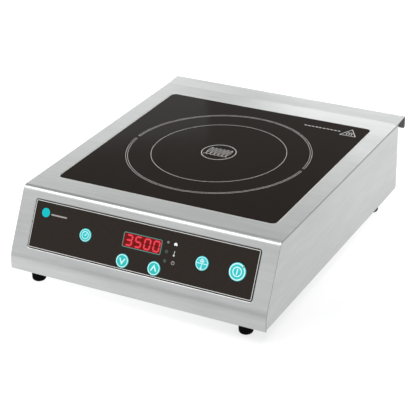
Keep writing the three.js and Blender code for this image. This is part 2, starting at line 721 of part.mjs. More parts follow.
const sensorHolder = turned(
  ringProfile([
    [4.2, CARRIER_BOTTOM - 6],
    [SENSOR_RADIUS + 5, CARRIER_BOTTOM - 6],
    [SENSOR_RADIUS + 5, CARRIER_BOTTOM - GAP],
    [SENSOR_RADIUS + 2.4, CARRIER_BOTTOM - GAP],
    [SENSOR_RADIUS + 2.4, INSULATION_TOP - 2],
    [SENSOR_RADIUS, INSULATION_TOP - 2],
    [SENSOR_RADIUS, CARRIER_BOTTOM - 3],
    [4.2, CARRIER_BOTTOM - 3],
  ]),
  16,
);
piece("sensor_holder", sensorHolder, "silicone", glassUnit);
const sensor = turned(
  [
    [0, CARRIER_BOTTOM - 2.7],
    [SENSOR_RADIUS - GAP, CARRIER_BOTTOM - 2.7],
    [SENSOR_RADIUS - GAP, INSULATION_TOP - 0.8],
    [SENSOR_RADIUS - 1.3, INSULATION_TOP],
    [0, INSULATION_TOP],
  ],
  16,
);
piece("temperature_sensor", sensor, "ceramic", glassUnit);

// ---- control panel ------------------------------------------------------------------------------

function controlOverlay() {
  const margin = 0.4;
  const shape = roundedRectangle(
    PANEL_WIDTH - 2 * margin,
    PANEL_HEIGHT - 2 * margin,
    PANEL_RADIUS - margin,
  );
  const plate = prism(shape, OVERLAY_BOTTOM, OVERLAY_TOP);
  const reach = [OVERLAY_BOTTOM - 1, OVERLAY_TOP + 1];
  const holes = buttons.map(({ x, y, radius }) => cylinder(radius + GAP, ...reach, x, y, 24));
  holes.push(...lamps.map(({ x, y, radius }) => cylinder(radius, ...reach, x, y, 12)));
  const lensHole = roundedRectangle(display.width, display.height, display.radius);
  holes.push(prism(lensHole, ...reach, 3).translate(display.x, display.y, 0));
  return cut(plate, ...holes);
}
piece("control_overlay", controlOverlay(), "overlay", panel);

const lensShape = roundedRectangle(display.width - 0.6, display.height - 0.6, display.radius - 0.3);
const lens = prism(lensShape, OVERLAY_BOTTOM, OVERLAY_TOP, 3);
piece("display_window", lens, "displayLens", panel).position.set(display.x, display.y, 0);

const digitBlock = box(-24, 24, -8.2, 8.2, BOARD_TOP + GAP, OVERLAY_BOTTOM - GAP);
piece("digit_module", digitBlock, "digits", panel).position.set(display.x, display.y, 0);

const SWITCH_HEIGHT = 3.2;
const STEM_BOTTOM = BOARD_TOP + SWITCH_HEIGHT + BUTTON_TRAVEL + GAP;

function controlBoard() {
  const thickness = [BOARD_TOP - BOARD_THICKNESS, BOARD_TOP];
  const board = prism(roundedRectangle(284, 44, 1.5), ...thickness, 2);
  const switches = buttons.map(({ x, y }) =>
    box(x - 3, x + 3, y - 3, y + 3, BOARD_TOP - 0.5, BOARD_TOP + SWITCH_HEIGHT),
  );
  const diodes = lamps.map(({ x, y }) =>
    cylinder(1.6, BOARD_TOP - 0.5, OVERLAY_TOP - 0.4, x, y, 10),
  );
  const processor = box(-48, -34, -20, -6, BOARD_TOP - BOARD_THICKNESS - 1.4, BOARD_TOP - 0.5);
  const buzzer = cylinder(6, BOARD_TOP - BOARD_THICKNESS - 7, BOARD_TOP - 0.5, 60, -8, 16);
  return join(board, ...switches, ...diodes, processor, buzzer);
}
piece("control_board", controlBoard(), "circuitBoard", panel);

// A push button: a cap in the overlay's hole, a collar that stops behind it, and a stem.
function buttonShape(radius) {
  const top = OVERLAY_TOP + BUTTON_PROUD;
  const collarTop = OVERLAY_BOTTOM - 0.2;
  return turned(
    [
      [0, STEM_BOTTOM],
      [2.4, STEM_BOTTOM],
      [2.4, collarTop - 1],
      [radius + COLLAR, collarTop - 1],
      [radius + COLLAR, collarTop],
      [radius, collarTop],
      [radius, top - 0.35],
      [radius - 0.35, top],
      [0, top],
    ],
    24,
  );
}
for (const { name, x, y, radius } of buttons) {
  piece(name, buttonShape(radius), "teal", panel).position.set(x, y, 0);
}

// ---- power electronics ------------------------------------------------------------------------

const boardTop = BOARD.z + BOARD_THICKNESS;
const electronics = new THREE.Group();
electronics.position.set(0, fromFront(BOARD.y), 0);
hob.add(electronics);

function powerBoard() {
  const plate = prism(roundedRectangle(BOARD.width, BOARD.depth, 2), BOARD.z, boardTop, 2);
  const rooted = BOARD.z + 1; // the parts on the board start inside it, so that they are one body
  const transformer = box(-80, -54, -60, -30, rooted, boardTop + 22);
  const relay = box(58, 78, 14, 42, rooted, boardTop + 16);
  const smallCapacitors = [-20, -4].map((y) => cylinder(5, rooted, boardTop + 18, -70, y, 12));
  return join(plate, transformer, relay, ...smallCapacitors);
}
piece("power_board", powerBoard(), "circuitBoard", electronics);

const SINK = {
  halfWidth: 46,
  front: -66,
  rear: 16,
  base: boardTop + 5,
  baseThickness: 5,
  height: 34,
  fins: 10,
  finThickness: 1.8,
};
function heatSinkShape() {
  const pitch = (2 * SINK.halfWidth - SINK.finThickness) / (SINK.fins - 1);
  const baseTop = SINK.base + SINK.baseThickness;
  const finTop = SINK.base + SINK.height;
  const points = [point(-SINK.halfWidth, SINK.base)];
  for (let i = 0; i < SINK.fins; i += 1) {
    const x = -SINK.halfWidth + i * pitch;
    if (i > 0) points.push(point(x, baseTop));
    points.push(point(x, finTop), point(x + SINK.finThickness, finTop));
    if (i < SINK.fins - 1) points.push(point(x + SINK.finThickness, baseTop));
  }
  points.push(point(SINK.halfWidth, SINK.base));
  return new THREE.Shape(points.reverse());
}
const heatSink = along(heatSinkShape(), SINK.front, SINK.rear);
piece("heat_sink", heatSink, "aluminium", electronics);

// The pieces that stand on the board, each a hair above it: [name, half width, x].
const SEAT = boardTop + 0.2;
const semiconductors = [
  ["power_transistor_1", 8, -26],
  ["power_transistor_2", 8, 0],
  ["bridge_rectifier", 12, 29],
];
for (const [name, half, x] of semiconductors) {
  const body = box(-half, half, -10, 10, SEAT, SINK.base - 0.2);
  piece(name, body, "blackPlastic", electronics).position.set(x, -42, 0);
}

const capacitors = [
  { name: "resonant_capacitor_1", width: 40, depth: 22, height: 34, x: -52, y: 40 },
  { name: "resonant_capacitor_2", width: 40, depth: 22, height: 34, x: -6, y: 40 },
  { name: "filter_capacitor", width: 48, depth: 16, height: 28, x: -48, y: 70 },
];
for (const { name, width, depth, height, x, y } of capacitors) {
  const body = prism(roundedRectangle(width, depth, 2), SEAT, boardTop + height, 2);
  piece(name, body, "capacitor", electronics).position.set(x, y, 0);
}

const CHOKE = { radius: 13, wire: 5.5 };
const choke = new THREE.TorusGeometry(CHOKE.radius, CHOKE.wire, 8, 18);
choke.translate(0, 0, boardTop + CHOKE.wire + GAP);
piece("mains_choke", choke, "copper", electronics).position.set(8, 70, 0);

const fuseBody = turned(
  [
    [0, -11],
    [3.2, -11],
    [3.2, -5],
    [2.5, -5],
    [2.5, 5],
    [3.2, 5],
    [3.2, 11],
    [0, 11],
  ],
  12,
).rotateY(Math.PI / 2);
piece("mains_fuse", fuseBody, "ceramic", electronics).position.set(46, 76, boardTop + 4);

function terminalBlock() {
  const body = box(-15, 15, -6, 6, SEAT, boardTop + 15);
  const pockets = [-9.5, 0, 9.5].map((x) => cylinder(2.6, boardTop + 8, boardTop + 16, x, 0, 10));
  return cut(body, ...pockets);
}
piece("terminal_block", terminalBlock(), "blackPlastic", electronics).position.set(66, 62, 0);

const earthStud = turned(
  [
    [0, PLATE_TOP + 0.1],
    [6, PLATE_TOP + 0.1],
    [6, PLATE_TOP + 3],
    [2.2, PLATE_TOP + 3],
    [2.2, PLATE_TOP + 14],
    [0, PLATE_TOP + 14],
  ],
  12,
);
piece("earth_stud", earthStud, "brass").position.set(120, fromFront(332), 0);

// Flat cable from the control board down to the front edge of the power board.
function flatCable() {
  const start = panel.localToWorld(new THREE.Vector3(0, -18, BOARD_TOP - BOARD_THICKNESS - 0.4));
  const out = panel.localToWorld(new THREE.Vector3(0, -18, BOARD_TOP - BOARD_THICKNESS - 6));
  const boardEdge = fromFront(BOARD.y - BOARD.depth / 2);
  const low = BOTTOM + 4;
  const path = [
    point(start.y, start.z),
    point(out.y, out.z),
    point(out.y + 6, low),
    point(boardEdge - 8, low),
    point(boardEdge - 3, boardTop + 6),
    point(boardEdge + 6, boardTop + 6),
    point(boardEdge + 6, boardTop + 0.3),
  ];
  return across(bentSheet(path, [2.5, 4, 4, 2.5, 2], 1), -13, 13);
}
panel.updateMatrixWorld(true);
piece("flat_cable", flatCable(), "ribbon");

// ---- cooling fans -------------------------------------------------------------------------------

const FAN_BOTTOM = PLATE_TOP + 0.1;
const FAN_TOP = FAN_BOTTOM + FAN_HEIGHT;
const FAN_BORE = 38;
const HUB_RADIUS = 17;
const STATOR_RADIUS = 13.5;
const SHAFT_RADIUS = 1.5;

function fanFrame() {
  const block = prism(roundedRectangle(FAN_SIZE, FAN_SIZE, 5), FAN_BOTTOM, FAN_TOP, 1);
  const bore = cylinder(FAN_BORE, FAN_BOTTOM - 1, FAN_TOP + 1, 0, 0, 28);
  const motorBase = cylinder(HUB_RADIUS, FAN_TOP - 3, FAN_TOP, 0, 0, 16);
  const stator = cylinder(STATOR_RADIUS, FAN_TOP - 16, FAN_TOP - 2.5, 0, 0, 12);
  const struts = [0, 1, 2, 3].map((i) =>
    box(HUB_RADIUS - 1, FAN_BORE + 1, -2, 2, FAN_TOP - 3, FAN_TOP).rotateZ((i * Math.PI) / 2),
  );
  const shaftHole = cylinder(SHAFT_RADIUS + 0.05, FAN_TOP - 17, FAN_TOP + 1, 0, 0, 12);
  return cut(join(cut(block, bore), motorBase, stator, ...struts), shaftHole);
}

function fanRotor() {
  const hubBottom = FAN_BOTTOM + 4;
  const hubTop = FAN_TOP - 4;
  const hub = turned(
    [
      [0, hubBottom],
      [HUB_RADIUS - 1, hubBottom],
      [HUB_RADIUS, hubBottom + 1],
      [HUB_RADIUS, hubTop],
      [HUB_RADIUS - 2, hubTop],
      [HUB_RADIUS - 2, hubBottom + 2],
      [SHAFT_RADIUS, hubBottom + 2],
      [SHAFT_RADIUS, FAN_TOP - 3],
      [0, FAN_TOP - 3],
    ],
    14,
  );
  const blades = Array.from({ length: 7 }, (_, i) => {
    const blade = new THREE.BoxGeometry(20.5, 17, 1.4);
    blade.rotateX(0.75);
    blade.translate(HUB_RADIUS - 1 + 10.25, 0, (hubBottom + hubTop) / 2);
    return blade.rotateZ((i * 2 * Math.PI) / 7);
  });
  return join(hub, ...blades);
}

for (const [name, side] of [["left", -1], ["right", 1]]) {
  const frame = piece("fan_frame_" + name, fanFrame(), "blackPlastic");
  frame.position.set(side * FAN_X, fromFront(FAN_Y), 0);
  const rotor = piece("fan_rotor_" + name, fanRotor(), "blackPlastic");
  rotor.position.set(side * FAN_X, fromFront(FAN_Y), 0);
}

export default hob;
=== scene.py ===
"""Looks of the countertop induction hob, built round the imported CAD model. Metres, +Z up."""

import json
from math import atan2, copysign, cos, hypot, pi, radians, sin, tan

import bmesh
import bpy
from mathutils import Matrix, Vector


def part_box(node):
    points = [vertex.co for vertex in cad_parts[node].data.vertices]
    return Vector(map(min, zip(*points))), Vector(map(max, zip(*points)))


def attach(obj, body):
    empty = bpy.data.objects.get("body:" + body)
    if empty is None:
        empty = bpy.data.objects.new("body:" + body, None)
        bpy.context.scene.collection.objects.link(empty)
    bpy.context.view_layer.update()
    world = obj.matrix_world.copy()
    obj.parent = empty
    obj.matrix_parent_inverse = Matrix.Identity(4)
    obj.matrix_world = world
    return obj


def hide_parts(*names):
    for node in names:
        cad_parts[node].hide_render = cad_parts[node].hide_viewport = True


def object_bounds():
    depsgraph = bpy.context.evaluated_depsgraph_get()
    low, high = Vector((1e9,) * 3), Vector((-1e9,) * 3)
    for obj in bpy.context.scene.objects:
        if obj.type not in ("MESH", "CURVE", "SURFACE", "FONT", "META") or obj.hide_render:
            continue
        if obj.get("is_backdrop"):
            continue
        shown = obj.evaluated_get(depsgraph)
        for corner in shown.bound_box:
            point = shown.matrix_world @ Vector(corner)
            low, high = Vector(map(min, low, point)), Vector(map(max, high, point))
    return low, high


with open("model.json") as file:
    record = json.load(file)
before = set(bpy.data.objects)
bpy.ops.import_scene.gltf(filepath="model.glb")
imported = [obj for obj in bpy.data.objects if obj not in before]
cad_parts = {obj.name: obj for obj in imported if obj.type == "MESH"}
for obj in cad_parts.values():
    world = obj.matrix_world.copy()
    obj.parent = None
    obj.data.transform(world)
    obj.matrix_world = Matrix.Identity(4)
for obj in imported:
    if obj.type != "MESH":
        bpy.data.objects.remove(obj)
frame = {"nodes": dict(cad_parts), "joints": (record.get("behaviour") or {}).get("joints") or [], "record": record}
CAD_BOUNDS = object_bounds()
NODES = frame["nodes"]
MM = 0.001
X_AXIS, Y_AXIS, Z_AXIS = (Vector(axis) for axis in ((1, 0, 0), (0, 1, 0), (0, 0, 1)))

# ---- camera, at the angle the hob is shown from

CAMERA_AZIMUTH = 28.04
CAMERA_ELEVATION = 27.03
CAMERA_ROLL = -1.18
CAMERA_LENS = 122.9
CAMERA_DISTANCE = 1.740
CAMERA_TARGET = Vector((-0.0031, -0.0122, 0.0359))


def make_camera():
    azimuth = radians(CAMERA_AZIMUTH)
    elevation = radians(CAMERA_ELEVATION)
    back = Vector((
        sin(azimuth) * cos(elevation),
        -cos(azimuth) * cos(elevation),
        sin(elevation),
    ))
    level = Vector((cos(azimuth), sin(azimuth), 0))
    above = back.cross(level)
    roll = radians(CAMERA_ROLL)
    right = level * cos(roll) + above * sin(roll)
    up = above * cos(roll) - level * sin(roll)
    turn = Matrix((right, up, back)).transposed().to_4x4()
    data = bpy.data.cameras.new("camera")
    data.lens = CAMERA_LENS
    data.clip_start = 0.05
    data.clip_end = 50
    camera = bpy.data.objects.new("camera", data)
    camera.matrix_world = Matrix.Translation(CAMERA_TARGET + back * CAMERA_DISTANCE) @ turn
    bpy.context.scene.collection.objects.link(camera)
    bpy.context.scene.camera = camera


# ---- node helpers

materials = {}


def set_stops(ramp, stops):
    """Fills a colour ramp with (position, colour) stops."""
    elements = ramp.color_ramp.elements
    while len(elements) < len(stops):
        elements.new(0.5)
    for element, (position, color) in zip(elements, stops):
        element.position = position
        element.color = (*color, 1)


class Shader:
    """A material with a Principled BSDF and short calls for the nodes that feed it. It is
    found in materials by its name."""

    def __init__(self, name, color, roughness, metallic=0.0, **sockets):
        self.material = bpy.data.materials.new(name)
        materials[name] = self.material
        self.material.use_nodes = True
        self.tree = self.material.node_tree
        self.bsdf = self.tree.nodes["Principled BSDF"]
        self.material.diffuse_color = (*color, 1)
        self.set("Base Color", (*color, 1))
        self.set("Roughness", roughness)
        self.set("Metallic", metallic)
        for socket, value in sockets.items():
            self.set(socket.replace("_", " "), value)

    def set(self, socket, value):
        self.bsdf.inputs[socket].default_value = value

    def node(self, kind, **settings):
        made = self.tree.nodes.new(kind)
        for name, value in settings.items():
            setattr(made, name, value)
        return made

    def link(self, output, node, socket):
        self.tree.links.new(output, node.inputs[socket])

    def place(self, scale=1):
        """Object coordinates, scaled: the cycles in a metre, one number or one for each axis."""
        coordinates = self.node("ShaderNodeTexCoord")
        mapping = self.node("ShaderNodeMapping")
        mapping.inputs["Scale"].default_value = scale if isinstance(scale, tuple) else (scale,) * 3
        self.link(coordinates.outputs["Object"], mapping, "Vector")
        return mapping.outputs["Vector"]

    def position(self):
        """The object's X, Y and Z, as the outputs of one node."""
        made = self.node("ShaderNodeSeparateXYZ")
        self.link(self.place(), made, "Vector")
        return made.outputs

    def noise(self, scale, detail=2.0, roughness=0.5, distortion=0.0):
        made = self.node("ShaderNodeTexNoise")
        made.inputs["Scale"].default_value = 1.0
        made.inputs["Detail"].default_value = detail
        made.inputs["Roughness"].default_value = roughness
        made.inputs["Distortion"].default_value = distortion
        self.link(self.place(scale), made, "Vector")
        return made.outputs["Fac"]

    def cells(self, scale, output="Distance", feature="F1"):
        made = self.node("ShaderNodeTexVoronoi", feature=feature)
        made.inputs["Scale"].default_value = 1.0
        self.link(self.place(scale), made, "Vector")
        return made.outputs[output]

    def math(self, operation, first, second):
        made = self.node("ShaderNodeMath", operation=operation)
        for index, value in enumerate((first, second)):
            if isinstance(value, (int, float)):
                made.inputs[index].default_value = value
            else:
                self.tree.links.new(value, made.inputs[index])
        return made.outputs[0]

    def remap(self, value, low, high, source=(0.0, 1.0)):
        made = self.node("ShaderNodeMapRange")
        for index, number in enumerate((*source, low, high)):
            made.inputs[index + 1].default_value = number
        self.link(value, made, "Value")
        return made.outputs["Result"]

    def ramp(self, value, *stops):
        made = self.node("ShaderNodeValToRGB")
        set_stops(made, stops)
        self.link(value, made, "Fac")
        return made.outputs["Color"]

    def color(self, output):
        self.link(output, self.bsdf, "Base Color")

    def roughness(self, output):
        self.link(output, self.bsdf, "Roughness")

    def bump(self, height, distance, strength=1.0):
        """Bumps as high as distance, in metres. A second call adds to the first."""
        made = self.node("ShaderNodeBump")
        made.inputs["Strength"].default_value = strength
        made.inputs["Distance"].default_value = distance
        self.link(height, made, "Height")
        before = self.bsdf.inputs["Normal"].links
        if before:
            self.link(before[0].from_socket, made, "Normal")
        self.link(made.outputs["Normal"], self.bsdf, "Normal")


def shade(color, factor):
    return tuple(min(1.0, channel * factor) for channel in color)


# ---- materials


def brushed_steel(name, color, along="x", roughness=0.33, painted_light_from=None):
    """Satin stainless: fine brush lines along one axis, broader streaks, faint smudges. The last argument
    is the y past which the colour is painted lighter, and by how much: a painted reflection."""

    def stretched(fine, length):
        return tuple(length if axis == along else fine for axis in "xyz")

    s = Shader(name, color, roughness, metallic=1.0)
    hair = s.noise(stretched(1900, 30), roughness=0.6)
    streak = s.noise(stretched(270, 20))
    cloud = s.noise(stretched(30, 9), detail=3)
    tone = s.math("ADD", s.math("MULTIPLY", hair, 0.12), s.math("MULTIPLY", streak, 0.42))
    tone = s.math("ADD", tone, s.math("MULTIPLY", cloud, 0.46))
    painted = s.ramp(tone, (0.36, shade(color, 0.93)), (0.50, color), (0.64, shade(color, 1.06)))
    # painted highlight: past this y the colour is scaled lighter, standing in for the rear strip's brighter
    # reflection
    if painted_light_from:
        start, factor = painted_light_from
        place = s.position()
        painted_light_scale = s.node("ShaderNodeVectorMath", operation="SCALE")
        s.link(painted, painted_light_scale, 0)
        s.link(s.remap(place["Y"], 1.0, factor, (start, start + MM)), painted_light_scale, "Scale")
        painted = painted_light_scale.outputs["Vector"]
    s.color(painted)
    s.roughness(s.remap(cloud, roughness - 0.02, roughness + 0.03))
    s.bump(hair, 0.0000008)
    s.bump(streak, 0.000001)


def zinc_plate(name, color):
    s = Shader(name, color, 0.42, metallic=0.9)
    flakes = s.cells(160, output="Color")
    tone = s.noise(30, detail=4)
    mixed = s.math("ADD", s.math("MULTIPLY", tone, 0.7), s.math("MULTIPLY", flakes, 0.3))
    s.color(s.ramp(mixed, (0.25, shade(color, 0.82)), (0.75, shade(color, 1.12))))
    s.roughness(s.remap(mixed, 0.33, 0.52))
    s.bump(tone, 0.00003)


def ceramic_glass(name, color):
    s = Shader(name, color, 0.07, Specular_IOR_Level=0.015)
    speckle = s.noise(900)
    wipe = s.noise((26, 9, 20), detail=4, distortion=0.6)
    s.color(s.ramp(speckle, (0.35, shade(color, 0.85)), (0.7, shade(color, 1.25))))
    s.roughness(s.remap(wipe, 0.05, 0.13, (0.35, 0.75)))
    s.bump(s.noise(14, detail=1), 0.00004)


def printed_film(name, color):
    s = Shader(name, color, 0.3, Specular_IOR_Level=0.06)
    peel = s.noise(700)
    wipe = s.noise((30, 12, 30), detail=3)
    s.color(s.ramp(peel, (0.3, shade(color, 0.9)), (0.7, shade(color, 1.15))))
    s.roughness(s.remap(wipe, 0.24, 0.38))
    s.bump(peel, 0.000015)


def ink(name, color, roughness=0.45, specular=0.35):
    """Screen-printed ink: slightly uneven cover and a fine tooth."""
    s = Shader(name, color, roughness, Specular_IOR_Level=specular)
    cover = s.noise(1500)
    s.color(s.ramp(cover, (0.25, shade(color, 0.86)), (0.65, color)))
    s.roughness(s.remap(cover, roughness - 0.06, roughness + 0.08))
    s.bump(cover, 0.00001)


def glowing(name, color, strength, body):
    """A lit segment or lamp: its plastic colour with a steady glow that dims at the grain."""
    s = Shader(name, body, 0.35)
    grain = s.noise(1100)
    s.color(s.ramp(grain, (0.3, shade(body, 0.8)), (0.7, body)))
    glow = s.ramp(grain, (0.2, shade(color, 0.82)), (0.7, color))
    s.link(glow, s.bsdf, "Emission Color")
    s.set("Emission Strength", strength)


def moulded(name, color, roughness=0.5, grain=900, depth=0.00002, variation=0.12, **sockets):
    """Moulded plastic, rubber or potted resin: a fine spark-eroded grain and slight flow marks."""
    s = Shader(name, color, roughness, **sockets)
    fine = s.noise(grain)
    flow = s.noise(35, detail=3, distortion=0.4)
    tone = s.math("ADD", s.math("MULTIPLY", fine, 0.5), s.math("MULTIPLY", flow, 0.5))
    low, high = shade(color, 1 - variation), shade(color, 1 + variation)
    s.color(s.ramp(tone, (0.3, low), (0.7, high)))
    s.roughness(s.remap(tone, roughness - 0.06, roughness + 0.08, (0.3, 0.7)))
    s.bump(fine, depth)


def striped(name, color, other, scale, roughness=0.4, metallic=0.0):
    """Lines side by side, such as wires in a flat cable or strands in a winding."""
    s = Shader(name, color, roughness, metallic)
    wave = s.node("ShaderNodeTexWave", wave_type="BANDS", bands_direction="X")
    wave.inputs["Scale"].default_value = scale
    s.link(s.place(), wave, "Vector")
    tone = s.math("MULTIPLY", wave.outputs["Fac"], s.remap(s.noise(60), 0.7, 1.1))
    s.color(s.ramp(tone, (0.1, other), (0.6, color)))
    s.bump(wave.outputs["Fac"], 0.0001, 0.6)


def circuit_board(name, color):
    s = Shader(name, color, 0.35)
    tracks = s.cells(110, feature="DISTANCE_TO_EDGE")
    weave = s.noise((1400, 1400, 200), detail=1)
    s.color(s.ramp(tracks, (0.02, shade(color, 1.9)), (0.08, color), (0.6, shade(color, 0.8))))
    s.roughness(s.remap(weave, 0.3, 0.45))
    s.bump(tracks, 0.00006)


def teal_with_painted_light(name, low, high, painted_shade_z, painted_light_z):
    """Teal caps, painted a little lighter and bluer towards the top of the panel and of each cap: painted light
    from above.
    """
    s = Shader(name, low, 0.32, Specular_IOR_Level=0.25)
    # painted light: the colour rises with height, from painted shade low down to painted light at the top
    rise = s.remap(s.position()["Z"], 0.0, 1.0, (painted_shade_z, painted_light_z))
    grain = s.noise(1300)
    s.color(s.ramp(s.math("ADD", rise, s.remap(grain, -0.08, 0.08)), (0.0, low), (1.0, high)))
    s.roughness(s.remap(grain, 0.27, 0.38))
    s.bump(grain, 0.000012)


LIP_DEPTH = 26
STEEL = (0.492, 0.501, 0.498)
PRINT_GREY = (0.33, 0.31, 0.295)
PRINT_WHITE = (0.88, 0.93, 0.93)
# the button teal low down (painted shade) and high up (painted light)
TEAL_PAINTED_SHADE = (0.012, 0.44, 0.405)
TEAL_PAINTED_LIGHT = (0.025, 0.52, 0.56)
GLASS_BLACK = (0.0118, 0.0090, 0.0077)


def make_materials():
    """Every finish, by the name that the pieces and the CAD record call it by."""
    # the heights between which the button colour is painted from shade to light
    button_low, button_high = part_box("down_button")[0].z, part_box("power_button")[1].z
    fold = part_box("cover_sheet")[1].y - LIP_DEPTH * MM
    # painted highlight: the rear strip past the fold gets a colour 1.42 times lighter, standing in for its
    # brighter reflection
    brushed_steel("cover_steel", STEEL, "x", 0.28, (fold, 1.42))
    brushed_steel("side_steel", STEEL, "y", 0.34)
    brushed_steel("rear_steel", STEEL, "x", 0.38)
    # inner faces and cut edges of the steel sheets: an unbrushed mill finish, partly painted shade, made this dark
    # to stand for the shadow inside the rear lip
    zinc_plate("mill_steel", (0.19, 0.19, 0.19))
    zinc_plate("base_steel", (0.52, 0.54, 0.55))
    zinc_plate("screw_steel", (0.66, 0.67, 0.68))
    ceramic_glass("glass", GLASS_BLACK)
    moulded("glass_bead", (0.62, 0.61, 0.55), 0.6)
    moulded("silicone", (0.03, 0.03, 0.03), 0.7)
    moulded("mica", (0.62, 0.57, 0.44), 0.6, grain=300, variation=0.3)
    striped("copper", (0.60, 0.26, 0.11), (0.28, 0.10, 0.04), 260, 0.35, 0.8)
    moulded("carrier", (0.08, 0.072, 0.065), 0.6)
    moulded("ferrite", (0.045, 0.045, 0.05), 0.65, grain=1500, variation=0.35)
    moulded("ceramic", (0.74, 0.71, 0.64), 0.55, grain=1200)
    printed_film("overlay", (0.0225, 0.0176, 0.0145))
    moulded("display_lens", (0.20, 0.004, 0.003), 0.3, variation=0.2, Specular_IOR_Level=0.08)
    moulded("digit_block", (0.05, 0.02, 0.02), 0.5)
    teal_with_painted_light("button_teal", TEAL_PAINTED_SHADE, TEAL_PAINTED_LIGHT, button_low, button_high)
    moulded("foot_rubber", (0.0025, 0.0025, 0.0025), 0.75, Specular_IOR_Level=0.03)
    circuit_board("circuit_board", (0.016, 0.15, 0.055))
    brushed_steel("aluminium", (0.70, 0.71, 0.73), "y", 0.45)
    moulded("black_plastic", (0.02, 0.02, 0.022), 0.5)
    moulded("fan_plastic", (0.03, 0.03, 0.033), 0.4)
    moulded("capacitor", (0.05, 0.12, 0.30), 0.45)
    brushed_steel("brass", (0.62, 0.45, 0.17), "z", 0.35)
    striped("ribbon", (0.34, 0.35, 0.37), (0.16, 0.16, 0.18), 130)
    ink("print_grey", PRINT_GREY)
    ink("ring_grey", (0.56, 0.54, 0.52))
    ink("print_silver", (0.62, 0.62, 0.60), 0.35)
    ink("print_white", PRINT_WHITE)
    ink("print_teal", (0.060, 0.27, 0.23))
    ink("print_dim_teal", (0.030, 0.090, 0.075))
    ink("badge_teal", (0.004, 0.48, 0.50), specular=0.1)
    ink("button_white", (0.62, 0.90, 0.90))
    glowing("digit_lit", (1.0, 0.035, 0.085), 0.50, (0.34, 0.01, 0.02))
    moulded("digit_dark", (0.115, 0.006, 0.004), 0.4, 1200, Specular_IOR_Level=0.08)
    glowing("lamp_lit", (0.75, 0.78, 0.75), 0.05, (0.14, 0.145, 0.14))
    moulded("lamp_dark", (0.030, 0.045, 0.042), 0.25, grain=1200)
    glowing("lamp_red", (0.55, 0.05, 0.06), 0.10, (0.20, 0.05, 0.05))


make_materials()

# ---- mesh helpers

EDGE = 0.2


def quarter(steps):
    """The angles of a quarter turn in equal steps."""
    return [pi / 2 * i / steps for i in range(steps + 1)]


def soften(made, width, angle=60):
    """Rounds the sharp edges a little, and keeps flat faces shaded flat beside the roundings."""
    if width:
        bevel = made.modifiers.new("soft_edges", "BEVEL")
        bevel.width = width * MM
        bevel.segments = 2
        bevel.limit_method = "ANGLE"
        bevel.angle_limit = radians(angle)
    shading = made.modifiers.new("flat_shading", "WEIGHTED_NORMAL")
    shading.keep_sharp = True


def finish_mesh(name, bm, material, body="housing", replaces=(), slot=None, edge=0.0):
    """Turns the mesh into a piece that rides on a body. A second material is for inner faces.
    slot is not used."""
    finishes = material if isinstance(material, tuple) else (material,)
    bmesh.ops.remove_doubles(bm, verts=bm.verts, dist=1e-7)
    bmesh.ops.recalc_face_normals(bm, faces=bm.faces)
    for face in bm.faces:
        face.smooth = True
    mesh = bpy.data.meshes.new(name)
    bm.to_mesh(mesh)
    bm.free()
    mesh.set_sharp_from_angle(angle=radians(40))
    made = bpy.data.objects.new(name, mesh)
    bpy.context.scene.collection.objects.link(made)
    for finish in finishes:
        made.data.materials.append(materials[finish])
    soften(made, edge)
    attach(made, body)
    if replaces:
        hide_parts(*replaces)
    return made


class Plane:
    """A flat place on the hob: millimetres across and up it, and out of it."""

    def __init__(self, origin, across, up):
        self.origin = Vector(origin)
        self.across = Vector(across).normalized()
        self.up = Vector(up).normalized()
        self.out = self.across.cross(self.up)

    def point(self, x, y, out=0.0):
        return self.origin + (self.across * x + self.up * y + self.out * out) * MM

    def loop(self, bm, points, level):
        return [bm.verts.new(self.point(x, y, level)) for x, y in points]

    def local(self, point):
        offset = Vector(point) - self.origin
        return tuple(offset.dot(axis) / MM for axis in (self.across, self.up, self.out))


def circle(x, y, radius, count=64):
    turns = [2 * pi * i / count for i in range(count)]
    return [(x + radius * cos(turn), y + radius * sin(turn)) for turn in turns]


def arc(x, y, radius, start, end, count=24):
    turns = [radians(start + (end - start) * i / count) for i in range(count + 1)]
    return [(x + radius * cos(turn), y + radius * sin(turn)) for turn in turns]


def rounded(x, y, width, height, radius, steps=8):
    """A rectangle with round corners, centred on x, y."""
    points = []
    for i, (sx, sy) in enumerate(((1, 1), (-1, 1), (-1, -1), (1, -1))):
        corner = (x + sx * (width / 2 - radius), y + sy * (height / 2 - radius))
        points += arc(*corner, radius, i * 90, i * 90 + 90, steps)
    return points


def growing(x, y, width, height, radius):
    """A rounded rectangle as a function of how far its line is moved outwards."""
    return lambda by: rounded(x, y, width + 2 * by, height + 2 * by, radius + by)


def stroke(points, width, closed=False):
    """The two sides of a line of that width along the points: (left side, right side)."""
    sides = ([], [])
    count = len(points)
    for i, (x, y) in enumerate(points):
        here = Vector((x, y))
        before = Vector(points[i - 1] if closed or i else points[i])
        after = Vector(points[(i + 1) % count] if closed or i < count - 1 else points[i])
        arriving = (here - before).normalized() if (here - before).length else None
        leaving = (after - here).normalized() if (after - here).length else None
        arriving, leaving = arriving or leaving, leaving or arriving
        normal = Vector((-arriving.y - leaving.y, arriving.x + leaving.x)).normalized()
        spread = width / 2 / max(0.35, normal.dot(Vector((-arriving.y, arriving.x))))
        sides[0].append(tuple(here + normal * spread))
        sides[1].append(tuple(here - normal * spread))
    return sides


def loft(bm, rows, closed=True):
    """Faces between each two rows of points next to each other."""
    count = len(rows[0])
    for a, b in zip(rows, rows[1:]):
        for i in range(count if closed else count - 1):
            j = (i + 1) % count
            bm.faces.new((a[i], a[j], b[j], b[i]))


def fill(bm, loops):
    """Faces over the flat area inside the first loop and outside the others."""
    edges = []
    for loop in loops:
        for a, b in zip(loop, loop[1:] + loop[:1]):
            edges.append(bm.edges.get((a, b)) or bm.edges.new((a, b)))
    bmesh.ops.triangle_fill(bm, use_beauty=True, edges=edges)


PRINT_SUNK = 0.03


